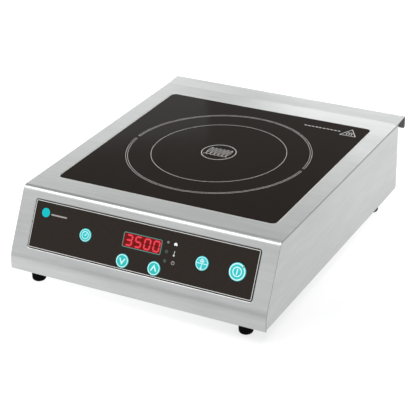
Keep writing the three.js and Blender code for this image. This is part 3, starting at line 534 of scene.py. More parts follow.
class Print:
    """Flat printed shapes with a real thickness, gathered into one piece."""

    def __init__(self, plane, thickness=0.06):
        self.plane = plane
        self.levels = (-PRINT_SUNK, thickness)
        self.bm = bmesh.new()

    def loop(self, points, level):
        return self.plane.loop(self.bm, points, level)

    def area(self, points):
        bottom, top = (self.loop(points, level) for level in self.levels)
        self.bm.faces.new(top)
        self.bm.faces.new(bottom[::-1])
        loft(self.bm, (bottom, top))
        return self

    def band(self, first, second, closed=True):
        """The band between two lines with the same number of points."""
        low, high = self.levels
        rows = [self.loop(first, high), self.loop(second, high), self.loop(second, low)]
        rows.append(self.loop(first, low))
        loft(self.bm, rows + rows[:1], closed)
        if not closed:
            for i in (0, -1):
                self.bm.faces.new([row[i] for row in rows])
        return self

    def line(self, points, width, closed=False):
        return self.band(*stroke(points, width, closed), closed)

    def ring(self, x, y, radius, width, count=64):
        outer, inner = radius + width / 2, radius - width / 2
        return self.band(circle(x, y, outer, count), circle(x, y, inner, count))

    def made(self, name, material, body="housing"):
        return finish_mesh(name, self.bm, material, body)


def turned(name, plane, x, y, profile, material, body="housing", segments=64, **settings):
    """A turned piece: (radius, level) pairs round x, y. A radius of 0 closes it on its axis."""
    bm = bmesh.new()
    rows = []
    for radius, level in profile:
        if radius:
            rows.append(plane.loop(bm, circle(x, y, radius, segments), level))
        else:
            rows.append([bm.verts.new(plane.point(x, y, level))] * segments)
    if profile[0][0]:
        rows.append(rows[0])
    for a, b in zip(rows, rows[1:]):
        for i in range(segments):
            j = (i + 1) % segments
            corners = dict.fromkeys((a[i], a[j], b[j], b[i]))
            bm.faces.new(tuple(corners))
    return finish_mesh(name, bm, material, body, **settings)


def round_off(radius, level, edge, steps=6, down=False):
    """The (radius, level) pairs of a rounded outer edge that ends on the top, or on the bottom."""
    sign = -1 if down else 1
    pairs = [
        (radius - edge + edge * cos(t), level - sign * edge + sign * edge * sin(t))
        for t in quarter(steps)
    ]
    return pairs[::-1] if down else pairs


def plate(name, plane, outer, holes, low, high, edge, material, **settings):
    """A flat plate with holes and rounded edges. Its outlines are functions of how far their
    lines are moved outwards."""
    bm = bmesh.new()
    turns = quarter(4)
    below = [(edge - edge * sin(t), low + edge - edge * cos(t)) for t in turns]
    above = [(edge - edge * cos(t), high - edge + edge * sin(t)) for t in turns]
    ends = ([], [])
    for sign, outline in [(-1, outer), *((1, hole) for hole in holes)]:
        rows = [plane.loop(bm, outline(sign * inset), level) for inset, level in below + above]
        loft(bm, rows)
        ends[0].append(rows[0])
        ends[1].append(rows[-1])
    for loops in ends:
        fill(bm, loops)
    return finish_mesh(name, bm, material, **settings)


# ---- bent sheet metal

BEND_STEPS = 10
SMALLEST_BEND = 0.05


def left_of(direction):
    return Vector((-direction.y, direction.x))


def vertex(bm, x, place):
    """A new vertex at x and a place (y, z), in millimetres."""
    return bm.verts.new(Vector((x, *place)) * MM)


def bend(corner, arriving, leaving, radius):
    """The points of the arc that rounds a corner between two directions."""
    turn = atan2(arriving.x * leaving.y - arriving.y * leaving.x, arriving.dot(leaving))
    start = corner - arriving * radius * tan(abs(turn) / 2)
    centre = start + left_of(arriving) * copysign(radius, turn)
    turns = [turn * k / BEND_STEPS for k in range(BEND_STEPS + 1)]
    return [centre + Matrix.Rotation(t, 2) @ (start - centre) for t in turns]


def sheet_face(path, radii, depth):
    """One skin of a bent sheet: for each corner of the path, moved to its right by depth, the
    points of its bend."""
    bends = []
    last = len(path) - 1
    for i, corner in enumerate(path):
        arriving = (corner - path[i - 1]).normalized() if i else (path[1] - corner).normalized()
        leaving = (path[i + 1] - corner).normalized() if i < last else arriving
        normal = left_of(arriving) + left_of(leaving)
        moved = corner - normal * depth / (1 + arriving.dot(leaving))
        if i in (0, last):
            bends.append([moved])
        else:
            turns_left = left_of(arriving).dot(leaving) > 0
            radius = radii[i - 1] + (depth if turns_left else -depth)
            bends.append(bend(moved, arriving, leaving, max(SMALLEST_BEND, radius)))
    return bends


def convex_outline(corners, insets, radii):
    """A closed outline, run clockwise, with each edge moved inwards and each corner rounded."""
    directions = [
        (after - corner).normalized() for corner, after in zip(corners, corners[1:] + corners[:1])
    ]
    points = []
    for i, corner in enumerate(corners):
        arriving, leaving = directions[i - 1], directions[i]
        sine = left_of(arriving).dot(leaving)
        moved = corner + (arriving * insets[i] - leaving * insets[i - 1]) / sine
        points += bend(moved, arriving, leaving, max(SMALLEST_BEND, radii[i]))
    return points


def cut_out(outline):
    """A plain hole through the sheet."""
    return lambda depth: [(outline, depth)]


def pressed_well(s, well, opening):
    """A well pressed into the sheet at a distance s along the flat, with a hole in its floor.
    lip and root are the radii where its wall leaves the face and meets the floor."""
    width, height, radius, well_depth, lip, root = well.values()
    outline = growing(0, s, width, height, radius)
    turns = quarter(6)

    def loops(depth):
        top = max(SMALLEST_BEND, lip - depth)
        bottom = root + depth
        rows = [(depth + top * (1 - sin(t)), depth + top * (1 - cos(t))) for t in turns]
        rows += [(depth - bottom * (1 - cos(t)), well_depth - root + bottom * sin(t)) for t in turns]
        wall = [(outline(outward), level) for outward, level in rows]
        return wall + [(opening, well_depth + depth)]

    return loops


def rounded_end(places, before, columns, radius):
    """The last row of a sheet as several rows, its two corners rounded: (place, columns)."""
    back = (before - places[-1]).normalized()
    first, *inner, last = columns
    rows = []
    for turn in quarter(BEND_STEPS):
        place = places[-1] + back * radius * (1 - sin(turn))
        inset = radius * (1 - cos(turn))
        rows.append((place, [first + inset, *inner, last - inset]))
    return rows


def bent_sheet(
    name, path, radii, columns, holes, material, thickness, ends=None, end_corner=0.0, **settings
):
    """A sheet bent along a path in the Y-Z plane, its outer face on the path and its thickness
    to the right. holes maps a flat to loops of (x, distance along the flat, depth). ends maps
    a flat to the columns it keeps, and end_corner rounds the corners where the path ends. The
    first material is the outer skin's."""
    bm = bmesh.new()
    skins = []
    for depth in (0.0, thickness):
        before = len(bm.verts)
        faces = sheet_face(path, radii, depth)
        rows = [[(place, columns) for place in places] for places in faces]
        if end_corner:
            rows[-1] = rounded_end(faces[-1], faces[-2][-1], columns, end_corner)
        bends = [[[vertex(bm, x, place) for x in xs] for place, xs in row] for row in rows]
        for made in bends:
            loft(bm, made, closed=False)
        for k, (a, b) in enumerate(zip(bends, bends[1:])):
            first, last = (ends or {}).get(k, (0, len(columns) - 1))
            rows = a[-1][first : last + 1], b[0][first : last + 1]
            if k not in holes:
                loft(bm, rows, closed=False)
                continue
            along = (path[k + 1] - path[k]).normalized()
            inner_loops = []
            for loops in holes[k]:
                made = []
                for outline, level in loops(depth):
                    places = [path[k] + along * s - left_of(along) * level for _, s in outline]
                    made.append([vertex(bm, x, place) for (x, _), place in zip(outline, places)])
                loft(bm, made)
                inner_loops.append(made[0])
            fill(bm, [rows[0] + rows[1][::-1], *inner_loops])
        bm.verts.ensure_lookup_table()
        skins.append(bm.verts[before:])
    partner = dict(zip(*skins))
    for face in bm.faces:
        face.material_index = 0 if face.verts[0] in partner else 1
    rims = [edge for edge in bm.edges if len(edge.link_faces) == 1 and edge.verts[0] in partner]
    for edge in rims:
        a, b = edge.verts
        bm.faces.new((a, b, partner[b], partner[a])).material_index = 1
    for loose in [v for v in bm.verts if not v.link_faces]:
        bm.verts.remove(loose)
    return finish_mesh(name, bm, material, **settings)


# ---- places taken from the frame


def corners_on(plane, node):
    """Lowest and highest corner of a CAD node along a plane's own axes, in millimetres."""
    places = list(zip(*(plane.local(v.co) for v in NODES[node].data.vertices)))
    return [min(axis) for axis in places], [max(axis) for axis in places]


def extent_on(plane, node):
    """Middle and size of a CAD node on a plane, and its lowest and highest level."""
    low, high = corners_on(plane, node)
    centre = (low[0] + high[0]) / 2, (low[1] + high[1]) / 2
    return centre, (high[0] - low[0], high[1] - low[1]), (low[2], high[2])


def middle(node):
    low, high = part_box(node)
    return (low + high) / 2


def panel_plane():
    """The top face of the control overlay; its outward side is where the buttons come from."""
    press = next(j for j in frame["joints"] if j["name"] == "power_press")
    out = -Vector(press["axis"])
    plane = Plane(middle("control_overlay"), X_AXIS, out.cross(X_AXIS))
    top = corners_on(plane, "control_overlay")[1][2]
    plane.origin = plane.point(0, 0, top)
    return plane


PANEL = panel_plane()
glass_low, glass_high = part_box("glass_plate")
GLASS = Plane((*((glass_low + glass_high) / 2).xy, glass_high.z), X_AXIS, Y_AXIS)

CAP_LEVEL = -0.5  # what lies above this level of a button is its cap


def button_place(node):
    """Centre of a button on the panel, radius of its cap, and its lowest and highest level."""
    (x, y), _, levels = extent_on(PANEL, node)
    points = (PANEL.local(v.co) for v in NODES[node].data.vertices)
    radius = max(hypot(px - x, py - y) for px, py, level in points if level > CAP_LEVEL)
    return x, y, radius, levels


# ---- CAD nodes keep their shape, and get their finish and softened edges


def dress_cad_nodes():
    for row in frame["record"]["subparts"]:
        node = NODES[row["node"]]
        node.data.materials.clear()
        node.data.materials.append(materials[row["material_slot"]])
        for polygon in node.data.polygons:
            polygon.use_smooth = True
        weld = node.modifiers.new("weld", "WELD")
        weld.merge_threshold = 1e-6
        soften(node, EDGE, angle=35)


# ---- steel housing

SHEET = 1.2
FLANGE = 12
FRONT_FLANGE = 18
STRIP_HEIGHT = 17.5
LOWER_BEND = 42
UPPER_BEND = 8
SLOPE_RUN = 38.6
LIP_RISE = 1.5
LIP_DROP = 16.8
LIP_CORNER = 2.5
FLANGE_BEND = 1.6
FLANGE_GAP = 0.3
LIP_BEND = 3
GLASS_JOINT = 281.2
GLASS_WELL = {
    "width": GLASS_JOINT, "height": GLASS_JOINT, "radius": 7.1, "depth": 5.6, "lip": 0.5, "root": 0.8
}
GLASS_LEDGE = {"width": 260, "height": 260, "radius": 6}
PANEL_WELL = {"width": 287, "height": 57, "radius": 3, "depth": 2, "lip": 1.5, "root": 0.3}
PANEL_WINDOW = {"width": 268, "height": 55.4, "radius": 2}
FOOT_SCREW_HOLE = 2.2
FOOT_BORE = 4.4
FOOT_BORE_DEPTH = 8


def flat(*places):
    """Points (y, z) of a path."""
    return [Vector(place) for place in places]


def box_mm(node):
    low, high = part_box(node)
    return low / MM, high / MM


def foot_places():
    for node in NODES:
        if node.startswith("foot_") and "screw" not in node:
            yield node, middle(node) / MM


def front_profile():
    """The housing's front in section: its lowest corner and its two bends."""
    low = box_mm("cover_sheet")[0]
    top = GLASS.origin.z / MM
    return [(low.y, low.z), (low.y, low.z + STRIP_HEIGHT), (low.y + SLOPE_RUN, top)]


def cover_sheet():
    low, high = box_mm("cover_sheet")
    rear, top = high.y, GLASS.origin.z / MM
    path = flat(
        (low.y + FRONT_FLANGE, low.z),
        *front_profile(),
        (rear - LIP_DEPTH, top),
        (rear, top + LIP_RISE),
        (rear, top + LIP_RISE - LIP_DROP),
    )
    slope = (path[3] - path[2]).normalized()
    panel_s = (Vector(PANEL.origin.yz) / MM - path[2]).dot(slope)
    glass_s = GLASS.origin.y / MM - path[3].x

    window = rounded(0, panel_s, *PANEL_WINDOW.values())
    ledge = rounded(0, glass_s, *GLASS_LEDGE.values())
    screw_holes = [
        cut_out(circle(place.x, path[0].x - place.y, FOOT_SCREW_HOLE, 32))
        for node, place in foot_places()
        if "front" in node
    ]
    flange_end = box_mm("side_panel_right")[1].x - FLANGE - FLANGE_GAP
    bent_sheet(
        "cover",
        path,
        radii=[FLANGE_BEND, LOWER_BEND, UPPER_BEND, LIP_BEND, FLANGE_BEND],
        columns=[low.x, -flange_end, flange_end, high.x],
        holes={
            0: screw_holes,
            2: [pressed_well(panel_s, PANEL_WELL, window)],
            3: [pressed_well(glass_s, GLASS_WELL, ledge)],
        },
        # the inner skin is the dark mill_steel: mill finish and painted shade for the shadow under the lip
        material=("cover_steel", "mill_steel"),
        thickness=SHEET,
        ends={0: (1, 2)},
        end_corner=LIP_CORNER,
        replaces=["cover_sheet"],
        edge=EDGE,
    )


STUD_PLACE = Vector((138.5, 17))
STUD = {"radius": 2, "low": -9.5, "high": -2.6, "chamfer": 0.3}


def panel_studs():
    radius, low, high, chamfer = STUD.values()
    profile = [(0, low), (radius - chamfer, low), (radius, low + chamfer), (radius, high)]
    profile.append((0, high))
    for i, sides in enumerate(((-1, -1), (-1, 1), (1, -1), (1, 1))):
        place = STUD_PLACE * Vector(sides)
        turned(f"panel_stud_{i + 1}", PANEL, *place, profile, "mill_steel", segments=32)


SIDE_INSET = 1.8
SIDE_INSETS = [SIDE_INSET, SIDE_INSET, 2.4, 0, 0]
SIDE_CORNER_RADII = [2.5, LOWER_BEND - SIDE_INSET, UPPER_BEND - SIDE_INSET, 2.5, 4.5]
SIDE_BEND = 1.7


def side_panel(node, side):
    low, high = box_mm(node)
    front = front_profile()
    corners = flat(*front, (high.y, front[2][1]), (high.y, front[0][1]))
    face = max(abs(low.x), abs(high.x))
    turns = quarter(BEND_STEPS)
    inner_bend = SIDE_BEND - SHEET
    outer = [(face - SIDE_BEND * (1 - cos(t)), SIDE_BEND * (1 - sin(t))) for t in turns]
    inner = [
        (face - SHEET - inner_bend * (1 - cos(t)), SHEET + inner_bend * (1 - sin(t)))
        for t in reversed(turns)
    ]
    bm = bmesh.new()
    rows = []
    for x, inset in [*outer, (face - FLANGE, 0), (face - FLANGE, SHEET), *inner]:
        insets = [edge + inset for edge in SIDE_INSETS]
        radii = [radius - inset for radius in SIDE_CORNER_RADII]
        outline = convex_outline(corners, insets, radii)
        rows.append([vertex(bm, side * x, place) for place in outline])
    loft(bm, rows[: len(outer) + 1])
    bm.faces.new(rows[0])
    outside = set(bm.faces)
    loft(bm, rows[len(outer) :])
    bm.faces.new(rows[-1])
    for made in bm.faces:
        made.material_index = 0 if made in outside else 1
    name = "side_left" if side < 0 else "side_right"
    finish_mesh(name, bm, ("side_steel", "mill_steel"), replaces=[node], edge=EDGE)


REAR_SLOT = {"height": 18, "width": 4.4, "pitch": 13.2, "first": -118, "columns": 12}
REAR_SLOT_ROWS = (20, 45)
REAR_BENDS = [1.8, 4]
GLAND_HOLE = 7.9


def rear_panel():
    low, high = box_mm("rear_panel")
    path = flat(
        (high.y - FLANGE, high.z), (high.y, high.z), (high.y, low.z), (high.y - FLANGE, low.z)
    )
    gland = middle("cable_gland") / MM
    holes = [cut_out(circle(gland.x, high.z - gland.z, GLAND_HOLE))]
    width, height = REAR_SLOT["width"], REAR_SLOT["height"]
    for column in range(REAR_SLOT["columns"]):
        x = REAR_SLOT["first"] + column * REAR_SLOT["pitch"]
        for s in REAR_SLOT_ROWS:
            holes.append(cut_out(rounded(x, s, width, height, width / 2 - 0.01)))
    bent_sheet(
        "rear_wall",
        path,
        radii=REAR_BENDS,
        columns=[low.x, high.x],
        holes={1: holes},
        material=("rear_steel", "mill_steel"),
        thickness=SHEET,
        replaces=["rear_panel"],
        edge=EDGE,
    )


# ---- glass, panel overlay and display window

GLASS_CORNER = 6.5
OVERLAY_CORNER = 2.6
WINDOW_CORNER = 1.6
GLASS_EDGE = 0.4
BEAD_LEVELS = (-3.2, -0.12)
BEAD_PLAY = 0.04
BEAD_GAP = 0.03


def centred(node, plane, radius):
    """A node's rounded outline on a plane, and its lowest and highest level."""
    centre, size, levels = extent_on(plane, node)
    return growing(*centre, *size, radius), levels


def glass_top():
    """The glass, and the bead that fills the joint round it."""
    outline, levels = centred("glass_plate", GLASS, GLASS_CORNER)
    plate("glass", GLASS, outline, [], *levels, GLASS_EDGE, "glass", replaces=["glass_plate"])
    side = GLASS_JOINT - BEAD_PLAY
    bead = growing(0, 0, side, side, GLASS_WELL["radius"])
    holes = [lambda by: outline(by + BEAD_GAP)]
    plate("glass_bead", GLASS, bead, holes, *BEAD_LEVELS, 0.1, "glass_bead", slot="silicone")


BUTTON_NODES = ("timer_button", "down_button", "up_button", "mode_button", "power_button")
BUTTON_GAP = 0.3
LAMP_X = 32.6
LAMP_HEIGHTS = (13.6, 3.1, -7.4)
LAMP_HOLE = 2.0
LAMP_LENS = {"radius": 1.5, "rise": 0.12, "depth": 0.35}


def panel_overlay():
    outline, levels = centred("control_overlay", PANEL, OVERLAY_CORNER)
    window, window_levels = centred("display_window", PANEL, WINDOW_CORNER)
    holes = [lambda by: window(by + BUTTON_GAP)]
    for node in BUTTON_NODES:
        x, y, radius, _ = button_place(node)
        holes.append(lambda by, x=x, y=y, r=radius + BUTTON_GAP: circle(x, y, r + by, 72))
    for y in LAMP_HEIGHTS:
        holes.append(lambda by, y=y: circle(LAMP_X, y, LAMP_HOLE + by, 32))
    plate("overlay", PANEL, outline, holes, *levels, 0.12, "overlay", replaces=["control_overlay"])
    lens = ("display_lens", PANEL, window, [], *window_levels, 0.15, "display_lens")
    plate(*lens, replaces=["display_window"])


# ---- buttons, feet, screws and cable gland

BUTTON_EDGE = 0.7
COLLAR = 0.9
COLLAR_TOP = -1.8
COLLAR_BASE = -2.8
STEM_RADIUS = 2.4


def buttons():
    for node in BUTTON_NODES:
        x, y, radius, (low, high) = button_place(node)
        profile = [
            (0, low),
            (STEM_RADIUS, low),
            (STEM_RADIUS, COLLAR_BASE),
            (radius + COLLAR, COLLAR_BASE),
            (radius + COLLAR, COLLAR_TOP),
            (radius, COLLAR_TOP),
            *round_off(radius, high, BUTTON_EDGE),
            (0, high),
        ]
        turned(node + "_cap", PANEL, x, y, profile, "button_teal", node, 96, replaces=[node])


def feet():
    plane = Plane((0, 0, 0), X_AXIS, Y_AXIS)
    for node, place in foot_places():
        low, high = box_mm(node)
        radius = (high.x - low.x) / 2
        profile = [
            (FOOT_BORE, 0),
            *round_off(radius, 0, radius - FOOT_BORE - 0.2, 12, down=True),
            (radius, high.z - 0.3),
            (radius - 0.3, high.z),
            (FOOT_SCREW_HOLE, high.z),
            (FOOT_SCREW_HOLE, FOOT_BORE_DEPTH),
            (FOOT_BORE - 0.2, FOOT_BORE_DEPTH),
            (FOOT_BORE, FOOT_BORE_DEPTH - 0.2),
        ]
        turned(node + "_rubber", plane, *place.xy, profile, "foot_rubber", replaces=[node])


SCREW_POINTS = 48
SCREW_HEAD_HEIGHT = 1.9


def hexagon(radius):
    """A hexagon with its points spread evenly round it, to match a circle of as many points."""
    points = []
    for i in range(SCREW_POINTS):
        turn = 2 * pi * i / SCREW_POINTS
        within = (turn + pi / 6) % (pi / 3) - pi / 6
        reach = radius * cos(pi / 6) / cos(within)
        points.append((reach * cos(turn), reach * sin(turn)))
    return points


def socket_screw(node, axis):
    """A button-head screw with a hexagon socket, its head towards the axis direction."""
    low, high = box_mm(node)
    centre = (low + high) / 2
    axis = Vector(axis)
    plane = Plane(centre * MM, X_AXIS, axis.cross(X_AXIS))
    extent = abs((high - low).dot(axis))
    sizes = sorted((high - low)[i] for i in range(3) if not axis[i])
    head = sizes[0] / 2
    top, bottom = extent / 2, -extent / 2
    seat = top - SCREW_HEAD_HEIGHT
    shank, socket = head * 0.48, head * 0.5
    turned_part = [(shank * 0.8, bottom), (shank, bottom + 0.5), (shank, seat), (head, seat)]
    turned_part += round_off(head, top, 1.4)
    rows = [(circle(0, 0, radius, SCREW_POINTS), level) for radius, level in turned_part]
    rows += [(hexagon(socket), top), (hexagon(socket * 0.96), top - 1.1)]
    bm = bmesh.new()
    made = [plane.loop(bm, row, level) for row, level in rows]
    loft(bm, made)
    bm.faces.new(made[0])
    bm.faces.new(made[-1])
    finish_mesh(node + "_head", bm, "screw_steel", replaces=[node])


def screws():
    for node in NODES:
        if "screw" in node:
            socket_screw(node, (0, 1, 0) if node.startswith("rear") else (0, 0, -1))


GLAND_LENGTH = 15  # outside the rear panel
GLAND_BORE = 5.2


def cable_gland():
    low, high = box_mm("cable_gland")
    centre = middle("cable_gland") / MM
    plane = Plane((0, 0, 0), Z_AXIS, X_AXIS)
    face = high.y - GLAND_LENGTH
    ribs = [
        (radius, face + 4.6 + level)
        for i in range(5)
        for radius, level in ((10.1 - i * 0.08, i * 1.4), (9.7 - i * 0.08, i * 1.4 + 0.7))
    ]
    profile = [
        (GLAND_BORE, low.y),
        (7.5, low.y),
        (7.5, face),
        (11.6, face),
        (12, face + 0.4),
        (12, face + 2.6),
        (11.6, face + 3),
        (10.4, face + 3.4),
        *ribs,
        *round_off(9.2, high.y, 2.2),
        (GLAND_BORE, high.y),
    ]
    turned(
        "gland_body", plane, centre.z, centre.x, profile, "black_plastic", segments=72,
        replaces=["cable_gland"],
    )


# ---- prints on the glass

RING_CENTRE = (-1.0, 0.4)
OUTER_RING = 110.9
OUTER_RING_WIDTH = 2.3
RING_ARCS = ((183.4, 356.6), (0.4, 179.4))
RING_LINE = 0.38
INNER_RING = 81.7
COIL_CENTRE = (-0.9, 0.2)
COIL_RING = 20.9
COIL_LOOPS = 6
COIL_LOOP = {"pitch": 5.2, "width": 2.7, "lean": 0.6, "height": 9.8}
HOT_TRIANGLE = [(109.8, 110.6), (130.2, 111.0), (119.0, 129.4)]
STEAM = {"x": 119.8, "y": 113.0, "pitch": 3.2, "wave": 0.7, "lean": 0.12}
DASHES = {"x": 58.6, "pitch": 5.0, "length": 3.3, "count": 10}


def ring_arc(start, end):
    """The outline of a stretch of the outer ring."""
    half = OUTER_RING_WIDTH / 2
    outer = arc(*RING_CENTRE, OUTER_RING + half, start, end, 120)
    return outer + arc(*RING_CENTRE, OUTER_RING - half, end, start, 120)


def coil_sign():
    """A row of slanted loops, as a wire wound round a bar is drawn."""
    pitch, width, lean, height = COIL_LOOP.values()
    steps = 28
    turns = [i / steps for i in range(-steps // 2, COIL_LOOPS * steps - steps // 2 + 1)]
    points = []
    for turn in turns:
        angle = 2 * pi * turn
        middle_x = COIL_CENTRE[0] + pitch * (turn - (COIL_LOOPS - 1) / 2)
        x = middle_x - width * sin(angle) + lean * cos(angle)
        points.append((x, COIL_CENTRE[1] + height * cos(angle)))
    return points


def glass_prints():
    rings = Print(GLASS)
    for start, end in RING_ARCS:
        rings.line(ring_arc(start, end), RING_LINE, closed=True)
    rings.ring(*RING_CENTRE, INNER_RING, 0.48, 180)
    rings.made("glass_ring_print", "ring_grey")

    coil = Print(GLASS)
    coil.ring(*COIL_CENTRE, COIL_RING, 0.75, 96)
    coil.line(coil_sign(), 0.6)
    coil.made("coil_sign_print", "ring_grey")

    mark = Print(GLASS)
    mark.line(HOT_TRIANGLE, 0.8, closed=True)
    for i in (-1, 0, 1):
        x = STEAM["x"] + i * STEAM["pitch"]
        waves = [STEAM["wave"] * sin(t * 1.1) + t * STEAM["lean"] for t in range(9)]
        mark.line([(x + wave, STEAM["y"] + t) for t, wave in enumerate(waves)], 0.8)
    for i in range(DASHES["count"]):
        left = DASHES["x"] + i * DASHES["pitch"]
        mark.line([(left, 119.2), (left + DASHES["length"], 119.1)], 1.5)
    mark.made("hot_surface_print", "ring_grey")


# ---- prints, lamps and digits on the control panel

BORDER_INSET = 0.5
BORDER_WIDTH = 0.75
SEGMENTS = {"3": "abcdg", "5": "acdfg", "0": "abcdef"}
SHOWN = "3500"
DIGIT = {"width": 6.8, "height": 11.4, "thickness": 2.0, "slant": 0.055}
DIGIT_PITCH = 11.6
DIGITS_SHIFT = 0.7
SEGMENT_GAP = 0.05
DISPLAY_FRAME = ((0.7, 2.0), (-0.8, 1.2))  # growth and corner radius, outside and inside
BADGE_DOT = (-127.7, 14.8, 5.3)
BADGE_BAR = (-109.8, 13.9, 21.0, 1.7, 0.8)


def digit_segments(x, y, width, height, thickness, slant):
    """The seven bars of one digit, named a to g, each with pointed ends."""
    half, w, h = thickness / 2, width / 2, height / 2
    bars = {
        "a": ((-w, h), (w, h)),
        "b": ((w, 0), (w, h)),
        "c": ((w, -h), (w, 0)),
        "d": ((-w, -h), (w, -h)),
        "e": ((-w, -h), (-w, 0)),
        "f": ((-w, 0), (-w, h)),
        "g": ((-w, 0), (w, 0)),
    }
    shapes = {}
    for name, (a, b) in bars.items():
        a, b = Vector(a), Vector(b)
        along = (b - a).normalized()
        side = left_of(along) * half
        a, b = a + along * SEGMENT_GAP, b - along * SEGMENT_GAP
        outline = [a, a + along * half + side, b - along * half + side, b]
        outline += [b - along * half - side, a + along * half - side]
        shapes[name] = [(x + p.x + slant * p.y, y + p.y) for p in outline]
    return shapes


def panel_border():
    outline = growing(0, 0, *extent_on(PANEL, "control_overlay")[1], OVERLAY_CORNER)
    lines = outline(-BORDER_INSET), outline(-BORDER_INSET - BORDER_WIDTH)
    Print(PANEL).band(*lines).made("panel_border_print", "print_silver")


def display():
    (x, y), (width, height), _ = extent_on(PANEL, "display_window")
    edges = [rounded(x, y, width + more, height + more, corner) for more, corner in DISPLAY_FRAME]
    Print(PANEL, 0.1).band(*edges).made("display_frame_print", "print_teal")
    lit, dark = Print(PANEL, 0.10), Print(PANEL, 0.08)
    for i, digit in enumerate(SHOWN):
        middle_x = x + DIGITS_SHIFT + (i - (len(SHOWN) - 1) / 2) * DIGIT_PITCH
        for name, outline in digit_segments(middle_x, y, **DIGIT).items():
            (lit if name in SEGMENTS[digit] else dark).area(outline)
    lit.made("digits_lit", "digit_lit")
    dark.made("digits_dark", "digit_dark")


def badge():
    """A plain dot and a plain bar."""
    Print(PANEL).area(circle(*BADGE_DOT)).made("badge_print", "badge_teal")
    Print(PANEL).area(rounded(*BADGE_BAR)).made("badge_bar_print", "print_grey")


def function_icons():
    """A pan, a thermometer and a clock, one beside each lamp."""
    pan = Print(PANEL)
    dome_points = arc(42.2, 12.9, 2.0, 0, 180, 16)
    pan.area(dome_points + [(40.2, 11.6), (41.5, 11.6), (42.2, 12.3), (42.9, 11.6), (44.2, 11.6)])
    pan.made("pan_icon_print", "print_white")
    heat = Print(PANEL)
    heat.line([(42.3, 1.3), (42.5, 5.6)], 0.7)
    heat.area(circle(42.2, 0.7, 1.15, 24))
    heat.made("heat_icon_print", "print_silver")
    clock = Print(PANEL)
    clock.ring(42.8, -7.6, 1.9, 0.6, 36)
    clock.line([(42.8, -6.5), (42.8, -7.6), (43.6, -7.6)], 0.45)
    clock.made("clock_icon_print", "print_grey")


def dome(name, plane, x, y, radius, rise, depth, material, body="housing"):
    """A small lens with a crowned top, its skirt in its hole."""
    crown = [(radius * cos(t), rise * sin(t)) for t in quarter(6)[:-1]]
    profile = [(0, -depth), (radius * 0.98, -depth), *crown, (0, rise)]
    turned(name, plane, x, y, profile, material, body, 40)


def lamps():
    rings = Print(PANEL)
    for i, y in enumerate(LAMP_HEIGHTS):
        if i:
            rings.ring(LAMP_X, y, 1.75, 0.4, 36)
        finish = "lamp_dark" if i else "lamp_lit"
        dome(f"lamp_lens_{i + 1}", PANEL, LAMP_X, y, *LAMP_LENS.values(), finish)
    rings.made("lamp_rings_print", "print_dim_teal")


# ---- marks on the buttons


def clock_mark(mark):
    mark.ring(0, 0, 4.1, 0.7, 48)
    mark.line([(0.2, 0.2), (2.3, 2.3)], 0.8)
    mark.area(circle(0, 0, 0.9, 20))


def arrow_mark(rise):
    return lambda mark: mark.line([(-3.3, -rise), (0, rise), (3.3, -rise)], 1.45)


def pot_mark(mark):
    mark.line([(-6.4, -0.2), (6.4, -0.2)], 0.8)
    mark.area(rounded(0, 2.6, 4.4, 2.9, 0.8))
    mark.area(rounded(0, 4.6, 2.8, 1.0, 0.45))
    mark.line([(-3.0, 3.1), (3.0, 3.1)], 0.8)
    mark.line([(0.2, -1.2), (-0.2, -4.6)], 0.9)
    mark.area(circle(-0.3, -5.1, 1.15, 20))


def power_mark(mark):
    mark.ring(0, 0, 5.0, 1.2, 72)
    mark.line([(0.3, 3.3), (-0.3, -3.3)], 1.3)


BUTTON_MARKS = {
    "timer_button": (clock_mark, 0.6),
    "down_button": (arrow_mark(-3.0), 0.9),
    "up_button": (arrow_mark(3.0), 0.9),
    "mode_button": (pot_mark, 0.7),
    "power_button": (power_mark, 1.3),
}
POWER_LAMP_ANGLE = 43


def button_marks():
    for node, (draw, rim) in BUTTON_MARKS.items():
        x, y, radius, (_, high) = button_place(node)
        plane = Plane(PANEL.point(x, y, high), PANEL.across, PANEL.up)
        mark = Print(plane, 0.05)
        mark.ring(0, 0, radius - BUTTON_EDGE - rim / 2, rim, 96)
        draw(mark)
        mark.made(node + "_mark", "button_white", node)
        if node == "power_button":
            reach = (radius - BUTTON_EDGE - 0.5) * cos(radians(POWER_LAMP_ANGLE))
            dome("power_lamp_lens", plane, reach, reach, 0.95, 0.25, 0.1, "lamp_red", node)


# ---- floor and light

FLOOR_SIZE = 24
FLOOR_GLOW = {"middle": 0.91, "across": -0.69, "back": 0.51, "least": 0.72, "most": 1.05}
FLOOR_DIM = 0.15
FLOOR_FRONT = (-0.85, -0.46)  # the y where the floor is dim, and the y where it has its full glow


def floor():
    half = FLOOR_SIZE / 2
    corners = ((-half, -half, 0), (half, -half, 0), (half, half, 0), (-half, half, 0))
    mesh = bpy.data.meshes.new("floor")
    mesh.from_pydata(corners, [], [(0, 1, 2, 3)])
    made = bpy.data.objects.new("floor", mesh)
    s = Shader("floor", (0.24, 0.24, 0.24), 0.7, Specular_IOR_Level=0.0)
    place = s.position()
    across = s.math("MULTIPLY", place["X"], FLOOR_GLOW["across"])
    back = s.math("MULTIPLY", place["Y"], FLOOR_GLOW["back"])
    glow = s.math("ADD", s.math("ADD", across, back), FLOOR_GLOW["middle"])
    glow = s.math("MINIMUM", s.math("MAXIMUM", glow, FLOOR_GLOW["least"]), FLOOR_GLOW["most"])
    glow = s.math("MULTIPLY", glow, s.remap(place["Y"], FLOOR_DIM, 1.0, FLOOR_FRONT))
    s.link(glow, s.bsdf, "Emission Strength")
    s.set("Emission Color", (1, 1, 1, 1))
    made.data.materials.append(s.material)
    bpy.context.scene.collection.objects.link(made)
    made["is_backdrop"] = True


def softbox(name, place, target, size, power):
    data = bpy.data.lights.new(name, "AREA")
    data.shape = "RECTANGLE"
    data.size, data.size_y = size
    data.energy = power
    made = bpy.data.objects.new(name, data)
    made.location = place
    made.rotation_mode = "QUATERNION"
    made.rotation_quaternion = (Vector(target) - Vector(place)).to_track_quat("-Z", "Y")
    bpy.context.scene.collection.objects.link(made)


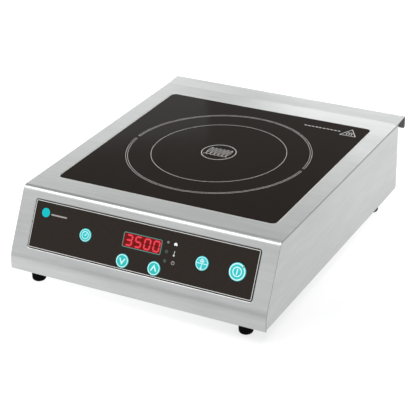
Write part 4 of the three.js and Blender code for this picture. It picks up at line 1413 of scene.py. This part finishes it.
ROOM_LEVELS = ((0.0, 0.42), (0.06, 0.80), (0.18, 0.97), (0.37, 0.95), (0.46, 0.62), (0.7, 0.48))
ROOM_RED = 0.985
SOFTBOXES = (
    ("overhead", (0.35, 0.0, 2.4), (0, 0, 0), (1.2, 1.4), 34),
    ("key", (-1.10, -0.95, 2.2), (0, 0, 0), (1.4, 0.9), 14),
    ("key_skirt", (-1.15, -1.75, 1.75), (0, 0, 0), (1.4, 0.9), 3.6),
    ("behind", (-0.38, 1.85, 0.54), (0.1, 0.2, 0.1), (0.8, 0.36), 3.4),
    ("left_back", (-1.40, 1.85, 0.85), (0, 0, 0.1), (0.7, 0.5), 1.0),
    ("front", (-1.0, -2.0, 0.86), (0, -0.2, 0.06), (1.5, 0.6), 0.5),
    ("low_left", (-1.9, -1.9, 0.16), (-0.1, -0.2, 0.03), (1.5, 0.36), 0.9),
    ("right", (2.0, -0.85, 0.5), (0, 0, 0.05), (0.8, 0.8), 8),
)


def studio():
    """A pale room that is darkest at the horizon and dims again towards the ceiling, with a
    large light overhead, a key light from the left and weaker ones round the hob."""
    world = bpy.data.worlds.new("studio")
    world.use_nodes = True
    bpy.context.scene.world = world
    tree = world.node_tree
    direction = tree.nodes.new("ShaderNodeTexCoord")
    split = tree.nodes.new("ShaderNodeSeparateXYZ")
    ramp = tree.nodes.new("ShaderNodeValToRGB")
    tree.links.new(direction.outputs["Generated"], split.inputs[0])
    tree.links.new(split.outputs["Z"], ramp.inputs["Fac"])
    tree.links.new(ramp.outputs["Color"], tree.nodes["Background"].inputs["Color"])
    set_stops(ramp, [(height, (level * ROOM_RED, level, level)) for height, level in ROOM_LEVELS])
    tree.nodes["Background"].inputs["Strength"].default_value = 1.0
    for box in SOFTBOXES:
        softbox(*box)
    bpy.context.scene.view_settings.view_transform = "Standard"


make_camera()
dress_cad_nodes()
cover_sheet()
panel_studs()
side_panel("side_panel_left", -1)
side_panel("side_panel_right", 1)
rear_panel()
glass_top()
panel_overlay()
buttons()
feet()
screws()
cable_gland()
glass_prints()
panel_border()
display()
badge()
function_icons()
lamps()
button_marks()
floor()
studio()

[[list(corner) for corner in box] for box in (CAD_BOUNDS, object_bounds())]
